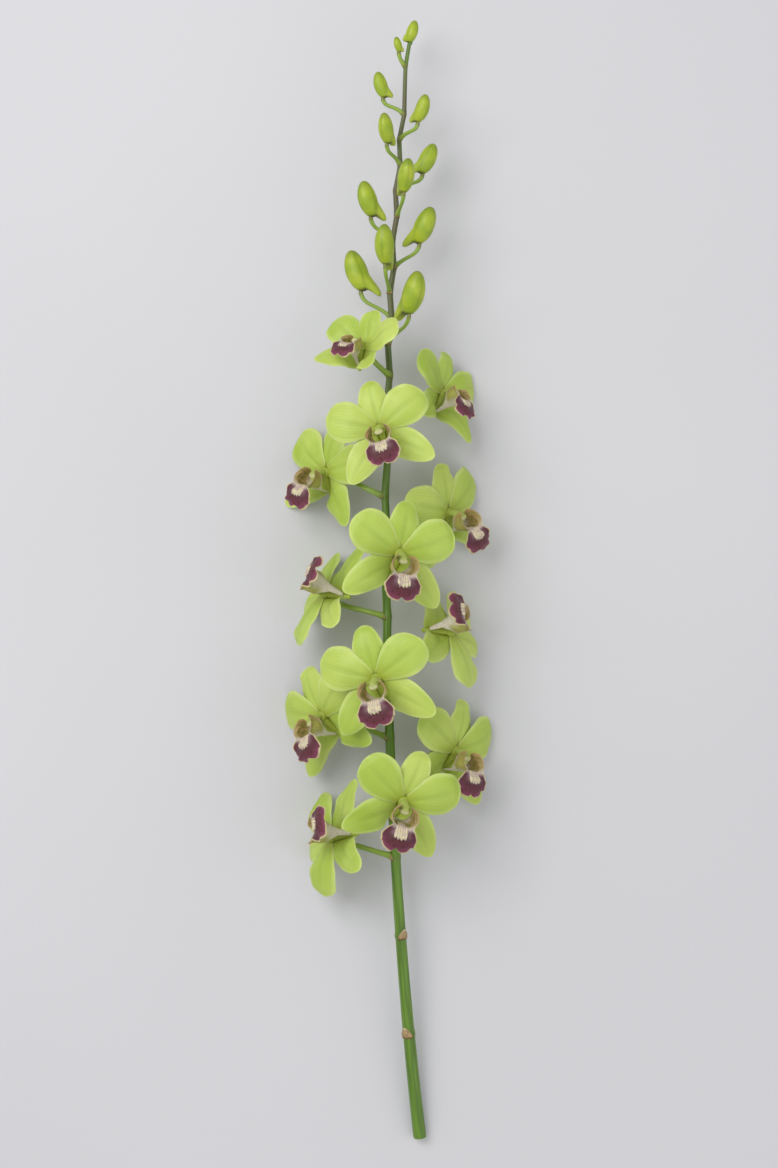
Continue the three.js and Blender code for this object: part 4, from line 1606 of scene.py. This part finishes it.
def hand_over(piece: bpy.types.Object, slot: str, *nodes: str) -> None:
    """Makes a piece ride on the body and stand for its nodes, and reports it.

    Args:
        piece: The piece.
        slot: Not used.
        nodes: The nodes of the frame that it replaces.
    """
    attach(piece, BODY)
    if nodes:
        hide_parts(*nodes)
    log.info("%s: %d faces, for %s", piece.name, len(piece.data.polygons), ", ".join(nodes) or "no node")


@dataclass(frozen=True)
class StalkShape:
    """A stalk's radii at its root and end, its lean to the tip and how it meets the flower."""

    radius: float
    end_radius: float
    lean: float
    turn_in: float
    inside: float


class Stalk(Enum):
    """The two kinds of stalk, with their shapes."""

    BLOOM = StalkShape(radius=1.4, end_radius=1.8, lean=0.35, turn_in=0.4, inside=1.7)
    BUD = StalkShape(radius=0.95, end_radius=1.15, lean=0.9, turn_in=0.36, inside=1.4)


@dataclass
class Run:
    """A line of the stem's skin from its root on, and the numbers that its points carry."""

    points: Array
    layers: dict[str, Array]


@dataclass
class Stem:
    """The axis with the stalks of its blooms and buds, grown along their lines by geometry nodes."""

    habit: Habit
    shift: Array
    cut_radius: float = 3.5
    bloom_radius: float = 2.7
    bud_radius: float = 1.7
    tip_radius: float = 1.05
    face_at: Row = (0.0, 0.03, 0.12, 0.3)
    face_girth: Row = (0.02, 0.9, 0.965, 0.99)
    face_cut: Row = (1.0, 1.0, 0.5)
    skin_from: float = 0.6
    step: float = 1.1
    node_swelling: float = 0.34
    node_rise: float = 0.4
    node_length: float = 1.7
    node_mark: float = 0.35
    mark_rise: float = -0.2
    mark_length: float = 0.9
    stalk_leave: float = 0.55
    stalk_widens: Pair = (0.6, 1.0)
    stalk_end: float = 0.6
    stalk_mark: float = 0.8
    stalk_mark_length: float = 0.8
    stalk_mark_at: Pair = (0.9, 1.0)
    flare: float = 0.5
    flare_length: float = 2.2
    zigzag: float = 0.8
    zigzag_lead: float = 40.0
    stalk_points: int = 34
    sides: int = 20
    ribs: float = 6.0
    rib_depth: float = 0.035
    runs: list[Run] = field(default_factory=list)

    def __post_init__(self) -> None:
        """Finds the nodes, and how far the axis strays to one side at each."""
        self.route = self.habit.route
        self.nodes = self.habit.nodes()
        self.node_places = [at for at, _ in self.nodes]
        bends = sorted(self.node_places)[len(self.habit.bare_nodes):]
        self.bends = [self.habit.first_bloom - self.zigzag_lead, *bends, self.route.length]
        self.strays = [0.0, *(self.zigzag * (-1.0) ** k for k in range(len(bends))), 0.0]

    def radius(self, at: Number) -> Number:
        """The axis's radius at a length from the cut end, the same as in the CAD."""
        places = [0.0, self.habit.first_bloom, self.habit.first_bud, self.route.length]
        return np.interp(at, places, [self.cut_radius, self.bloom_radius, self.bud_radius, self.tip_radius])

    def middle(self, at: float) -> Array:
        """The axis's middle, which zigzags a little from node to node.

        Args:
            at: The length from the cut end.

        Returns:
            The point in the object's own millimetres.
        """
        station = self.route.station(at)
        stray = float(np.interp(at, self.bends, self.strays))
        stray = stray * smooth(at, self.habit.first_bloom, self.habit.first_bud)
        return station.point + station.right * stray + self.shift

    def _near_nodes(self, at: Array, rise: float, length: float) -> Array:
        """How near some lengths are to a mark that every node has.

        Args:
            at: The lengths from the cut end.
            rise: How far above its node the mark is.
            length: How far it spreads along the stem.

        Returns:
            1 at a mark, and 0 away from all of them.
        """
        return np.minimum(sum(bell(at, node + rise, length) for node in self.node_places), 1.0)

    def add_axis(self, crown: Perch) -> None:
        """Lays the axis from the cut face to the tip and on into the last bud.

        Args:
            crown: The perch of that bud.
        """
        skin = np.arange(self.skin_from, self.route.length, self.step)
        at = np.concatenate([self.face_at, skin, [self.route.length]])
        girth = self.radius(at)
        swelling = self.node_swelling * self._near_nodes(at, self.node_rise, self.node_length)
        girth = girth + swelling * girth / self.bloom_radius
        girth[:len(self.face_girth)] *= self.face_girth
        cut = np.zeros(len(at))
        cut[:len(self.face_cut)] = self.face_cut
        knee = self.node_mark * self._near_nodes(at, self.mark_rise, self.mark_length)
        layers = {
            "girth": girth * MM, "reach": at * MM, "knee": knee, "cut": cut, "stalk": np.zeros(len(at)),
        }
        end = crown.place + self.shift
        points = [*map(self.middle, at), end, end + crown.facing * Stalk.BUD.value.inside]
        longer = {name: np.append(row, [row[-1], row[-1]]) for name, row in layers.items()}
        self.runs.append(Run(np.array(points), longer))

    def add_stalk(self, perch: Perch, end: Array, kind: Stalk) -> None:
        """Lays one stalk from the axis to behind its flower.

        Args:
            perch: The flower's perch.
            end: Where the CAD's stalk ends.
            kind: Whose stalk it is.
        """
        shape = kind.value
        start = self.middle(perch.at)
        reach = float(np.linalg.norm(end - start))
        leaving = unit(perch.outward + perch.along * shape.lean) * reach * self.stalk_leave
        arriving = perch.facing * reach * shape.turn_in
        share = np.linspace(0.0, 1.0, self.stalk_points)
        line = bezier((start, start + leaving, end - arriving, end), share)
        line = np.concatenate([line, [end + perch.facing * shape.inside]])
        share = np.append(share, 1.0)
        gone = np.linalg.norm(line - start, axis=1) - self.radius(perch.at)
        out = np.maximum(gone, 0.0)
        girth = mix(shape.radius, shape.end_radius, smooth(share, *self.stalk_widens))
        girth = girth + self.flare * shape.radius * np.exp(-out / self.flare_length)
        girth[-1] *= self.stalk_end
        knee = np.exp(-out / self.stalk_mark_length) + smooth(share, *self.stalk_mark_at)
        knee = np.minimum(self.stalk_mark * knee, 1.0)
        self.runs.append(Run(line, {
            "girth": girth * MM, "reach": (perch.at + gone) * MM, "knee": knee,
            "cut": np.zeros(len(line)), "stalk": np.ones(len(line)),
        }))

    def _line_mesh(self) -> bpy.types.Mesh:
        """All runs as loose edges that carry the numbers the tree reads."""
        mesh = bpy.data.meshes.new("stem_lines")
        points = np.concatenate([run.points for run in self.runs]) * MM
        starts = np.cumsum([0] + [len(run.points) for run in self.runs])
        edges = [(k, k + 1) for a, b in zip(starts, starts[1:]) for k in range(a, b - 1)]
        mesh.from_pydata(points.tolist(), edges, [])
        for name in self.runs[0].layers:
            give_layer(mesh, name, np.concatenate([run.layers[name] for run in self.runs]))
        return mesh

    def recipe(self) -> Recipe:
        """A ribbed tube along every line, as thick as its girth says."""
        recipe = Recipe("grown_tube")
        sides, ribs = recipe.size("Sides", "NodeSocketInt"), recipe.size("Ribs")
        rib_depth, finish = recipe.size("Rib depth"), recipe.size("Finish", "NodeSocketMaterial")
        lines = recipe.first("GeometryNodeMeshToCurve", {0: recipe.source.outputs[0]})
        ring = recipe.first("GeometryNodeCurvePrimitiveCircle", {"Resolution": sides, "Radius": 1.0})
        place = recipe.first("GeometryNodeInputPosition", {})
        ring = recipe.carrying(ring, "ring", place, "FLOAT_VECTOR")
        girth = recipe.layer("girth")
        wires = {"Curve": lines, "Profile Curve": ring, "Scale": girth, "Fill Caps": True}
        tube = recipe.first("GeometryNodeCurveToMesh", wires)
        x, y, _ = recipe.parts(recipe.layer("ring", "FLOAT_VECTOR"))
        wave = recipe.maths("COSINE", recipe.times(recipe.maths("ARCTAN2", y, x), ribs))
        height = recipe.times(wave, recipe.times(rib_depth, girth), recipe.layer("stalk"))
        normal = recipe.first("GeometryNodeInputNormal", {})
        offset = recipe.first("ShaderNodeVectorMath", {0: normal, "Scale": height}, operation="SCALE")
        recipe.close(recipe.first("GeometryNodeSetPosition", {"Geometry": tube, "Offset": offset}), finish)
        return recipe

    def build(self, finish: Material) -> None:
        """Grows the tubes and hands the piece over.

        Args:
            finish: The stem's finish.
        """
        piece = add_piece("stem_skin", self._line_mesh())
        self.recipe().bake(piece, {
            "Sides": self.sides, "Ribs": self.ribs, "Rib depth": self.rib_depth, "Finish": finish,
        })
        tidy = bmesh.new()
        tidy.from_mesh(piece.data)
        bmesh.ops.recalc_face_normals(tidy, faces=tidy.faces)
        for vert in tidy.verts:
            vert.co.z = max(vert.co.z, 0.0)
        tidy.to_mesh(piece.data)
        tidy.free()
        piece.data.shade_smooth()
        hand_over(piece, "stem", "stem")


@dataclass
class Bracts:
    """The dry scales that clasp the stem below each stalk, set there by geometry nodes."""

    stem: Stem
    length: float = 5.4
    wrap: float = 62.0
    stand_off: float = 1.06
    lift: float = 0.5
    rim_lift: float = 0.12
    thickness: float = 0.28
    back: float = 1.5
    outline: Pair = (1.6, 0.8)
    tip_thin: float = 0.5
    columns: int = 11
    rows: int = 9

    def _sheet(self, u: Array, v: Array) -> Array:
        """The middle of a scale that clasps the stem where it is as thick as at the first bloom.

        Args:
            u: From side to side.
            v: From root to tip.

        Returns:
            The points, with the stem along +Y and the scale above it.
        """
        stem, (power, root) = self.stem, self.outline
        turn = u * math.radians(self.wrap) * (1.0 - v**power) ** root
        onward = self.length * v - self.back
        swelling = stem.node_swelling * bell(onward, stem.node_rise, stem.node_length)
        out = stem.bloom_radius * self.stand_off + swelling
        out = out + self.lift * v**2 + self.rim_lift * np.abs(u) ** 3
        return np.stack([out * np.sin(turn), onward, out * np.cos(turn)], axis=-1)

    def _thickness(self, u: Array, v: Array) -> Array:
        """A scale thins towards its tip and is rounded off at its rim."""
        return self.thickness * fallen(np.abs(u), 8) * (1.0 - self.tip_thin * v)

    def _seats(self) -> bpy.types.Mesh:
        """A point at every node, with its directions and its share of the first bloom's girth."""
        stem = self.stem
        mesh = bpy.data.meshes.new("bract_seats")
        mesh.from_pydata([tuple(stem.middle(at) * MM) for at in stem.node_places], [], [])
        give_layer(mesh, "outward", np.array([outward for _, outward in stem.nodes]))
        give_layer(mesh, "onward", np.array([stem.route.station(at).along for at in stem.node_places]))
        give_layer(mesh, "girth", stem.radius(stem.node_places) / stem.bloom_radius)
        return mesh

    def build(self, finish: Material) -> None:
        """Sets a scale at every node and hands the piece over.

        Args:
            finish: The scales' finish.
        """
        piece = add_piece("stem_bracts", self._seats())
        rows = np.sin(np.linspace(0.0, math.pi / 2, self.rows))
        scale = blade(self._sheet, self.columns, rows, self._thickness)
        form = add_piece("bract_form", scale.mesh("bract_form"))
        recipe = Recipe("clasping_bracts")
        pattern = recipe.size("Bract", "NodeSocketObject")
        skin = recipe.size("Finish", "NodeSocketMaterial")
        shape = recipe.node("GeometryNodeObjectInfo", {"Object": pattern}).outputs["Geometry"]
        axes = {0: recipe.layer("outward", "FLOAT_VECTOR"), 1: recipe.layer("onward", "FLOAT_VECTOR")}
        turn = recipe.first("FunctionNodeAxesToRotation", axes, primary_axis="Z", secondary_axis="Y")
        wires = {
            "Points": recipe.source.outputs[0], "Instance": shape,
            "Rotation": turn, "Scale": recipe.layer("girth"),
        }
        recipe.close(recipe.first("GeometryNodeInstanceOnPoints", wires), skin)
        recipe.bake(piece, {"Bract": form, "Finish": finish})
        bpy.data.objects.remove(form)
        hand_over(piece, "stem")


@dataclass
class Papillae:
    """The tiny beads on a lip's callus, strewn by geometry nodes."""

    spacing: float = 0.0005
    density: float = 3.0e6
    bead: float = 0.00014
    threshold: float = 0.7

    def __post_init__(self) -> None:
        """Builds the tree once for all lips."""
        recipe = self.recipe = Recipe("callus_beads")
        spacing, density, bead = (recipe.size(name) for name in ("Spacing", "Density", "Bead"))
        seed, finish = recipe.size("Seed", "NodeSocketInt"), recipe.size("Finish", "NodeSocketMaterial")
        skin = recipe.source.outputs[0]
        sides = {0: recipe.layer("tuft"), 1: self.threshold}
        chosen = recipe.first("FunctionNodeCompare", sides, data_type="FLOAT", operation="GREATER_THAN")
        wires = {
            "Mesh": skin, "Selection": chosen, "Distance Min": spacing,
            "Density Max": density, "Density Factor": 1.0, "Seed": seed,
        }
        points = recipe.first("GeometryNodeDistributePointsOnFaces", wires, distribute_method="POISSON")
        ball = recipe.first("GeometryNodeMeshIcoSphere", {"Radius": bead, "Subdivisions": 1})
        ball = recipe.carrying(ball, "bead", 1.0)
        beads = recipe.first("GeometryNodeInstanceOnPoints", {"Points": points, "Instance": ball})
        both = recipe.node("GeometryNodeJoinGeometry", {})
        for part in (recipe.first("GeometryNodeRealizeInstances", {0: beads}), skin):
            recipe.tree.links.new(part, both.inputs[0])
        recipe.close(both.outputs[0], finish)

    def strew(self, piece: bpy.types.Object, seed: int, finish: Material) -> None:
        """Strews the beads over one lip."""
        self.recipe.bake(piece, {
            "Spacing": self.spacing, "Density": self.density, "Bead": self.bead,
            "Seed": seed, "Finish": finish,
        })


@dataclass
class Spray:
    """The whole stem with its blooms, lips and buds."""

    habit: Habit = field(default_factory=Habit)
    joint_gap: float = 0.5
    stalk_offset: float = 1.2
    bud_gap: float = 0.38
    sink: float = 0.5
    closed_lip: float = 0.75

    def __post_init__(self) -> None:
        """Finds how far the CAD's centring moved the whole stem."""
        perch = self.habit.bud(0)
        points = Bud(0, self.habit).solid(8, 8, 0.0).points @ perch.turn.T + perch.place
        centre = np.array(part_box("bud_01")).mean(0) / MM
        self.stem = Stem(self.habit, (centre - (points.min(0) + points.max(0)) / 2) * LEVEL)

    def build_blooms(self, tepals: Material, velvet: Material) -> None:
        """Builds every bloom with its lip and stalk.

        Args:
            tepals: The finish of the green parts.
            velvet: The finish of the lips.
        """
        papillae = Papillae()
        for index, plan in enumerate(BLOOM_PLANS):
            perch = self.habit.bloom(index)
            place = perch.place + self.stem.shift
            bloom = Bloom(index, plan.opened)
            solid, lip = bloom.solid(), Lip(index, mix(self.closed_lip, 1.0, plan.opened)).solid()
            solid.points, lip.points = solid.points * plan.size, lip.points * plan.size
            if plan.rests:
                place[2] = -(solid.points @ perch.turn.T)[:, 2].min() - self.sink
            number = f"{index + 1:02d}"
            mesh = solid.seated(perch.turn, place).mesh("tepals")
            hand_over(add_piece(f"tepals_{number}", mesh, tepals), "tepal", f"bloom_{number}")
            piece = add_piece(f"labellum_{number}", lip.seated(perch.turn, place).mesh("labellum"))
            papillae.strew(piece, index + 1, velvet)
            piece.data.shade_smooth()
            hand_over(piece, "lip", f"lip_{number}")
            back = place - perch.facing * (bloom.hub_back * plan.size + self.joint_gap)
            self.stem.add_stalk(perch, back + perch.dorsal * self.stalk_offset, Stalk.BLOOM)

    def build_buds(self, skin: Material) -> None:
        """Builds every bud, and the stalk of each but the last, which crowns the tip."""
        for index in range(self.habit.bud_count):
            perch = self.habit.bud(index)
            place = perch.place + self.stem.shift
            mesh = Bud(index, self.habit).solid().seated(perch.turn, place).mesh("closed_bud")
            number = f"{index + 1:02d}"
            hand_over(add_piece(f"closed_bud_{number}", mesh, skin), "bud", f"bud_{number}")
            if index < self.habit.crown:
                self.stem.add_stalk(perch, place - perch.facing * self.bud_gap, Stalk.BUD)

    def build(self) -> None:
        """Builds all pieces and dresses them."""
        self.build_blooms(TepalFinish().material(), LipFinish().material())
        self.build_buds(BudFinish().material())
        self.stem.add_axis(self.habit.bud(self.habit.crown))
        self.stem.build(StemFinish().material())
        Bracts(self.stem).build(BractFinish().material())


@dataclass(frozen=True)
class Lamp:
    """A soft square light."""

    name: str
    power: float
    place: Place
    size: float


@dataclass
class Studio:
    """The floor, the lights and the camera."""

    floor_size: float = 24.0
    lamps: tuple[Lamp, ...] = (
        Lamp("key", 15.0, (-0.75, 0.55, 1.35), 1.1),
        Lamp("fill", 5.0, (1.0, -0.5, 1.1), 1.6),
    )
    sky: Colour = (0.86, 0.87, 0.9)
    sky_strength: float = 0.62
    lens: float = 85.0
    sensor: float = 36.0
    frame_height: float = 0.62
    middle: Place = (0.0, 0.0, 0.035)

    def build_floor(self) -> None:
        """Lays the floor, which isn't part of the object."""
        half = self.floor_size / 2
        mesh = bpy.data.meshes.new("floor")
        corners = [(-half, -half, 0), (half, -half, 0), (half, half, 0), (-half, half, 0)]
        mesh.from_pydata(corners, [], [(0, 1, 2, 3)])
        add_piece("floor", mesh, FloorFinish().material())

    def build_lights(self) -> None:
        """Hangs the lamps, which look at the middle of the stem, and sets the sky."""
        for lamp in self.lamps:
            light = bpy.data.lights.new(lamp.name, "AREA")
            light.energy = lamp.power
            light.size = lamp.size
            holder = add_piece(lamp.name, light)
            holder.location = lamp.place
            aim = Vector(self.middle) - holder.location
            holder.rotation_euler = aim.to_track_quat("-Z", "Y").to_euler()
        world = bpy.data.worlds.new("soft_sky")
        world.use_nodes = True
        sky = world.node_tree.nodes["Background"]
        sky.inputs["Color"].default_value = (*self.sky, 1.0)
        sky.inputs["Strength"].default_value = self.sky_strength
        bpy.context.scene.world = world
        bpy.context.scene.view_settings.view_transform = "Standard"

    def build_camera(self) -> None:
        """Hangs the camera straight above the stem, with the tip at the top of the picture."""
        data = bpy.data.cameras.new("camera")
        data.lens = self.lens
        data.sensor_width = self.sensor
        data.sensor_fit = "VERTICAL"
        data.sensor_height = self.sensor
        distance = self.frame_height * self.lens / self.sensor
        camera = add_piece("camera", data)
        camera.location = Vector(self.middle) + Vector((0.0, 0.0, distance))
        bpy.context.scene.camera = camera

    def build(self) -> None:
        """Sets the whole studio up."""
        self.build_floor()
        self.build_lights()
        self.build_camera()


def main() -> None:
    """Builds the stem and the studio round it."""
    logging.basicConfig(level=logging.INFO, format="%(name)s %(message)s")
    Spray().build()
    Studio().build()


if __name__ == "__main__":
    main()
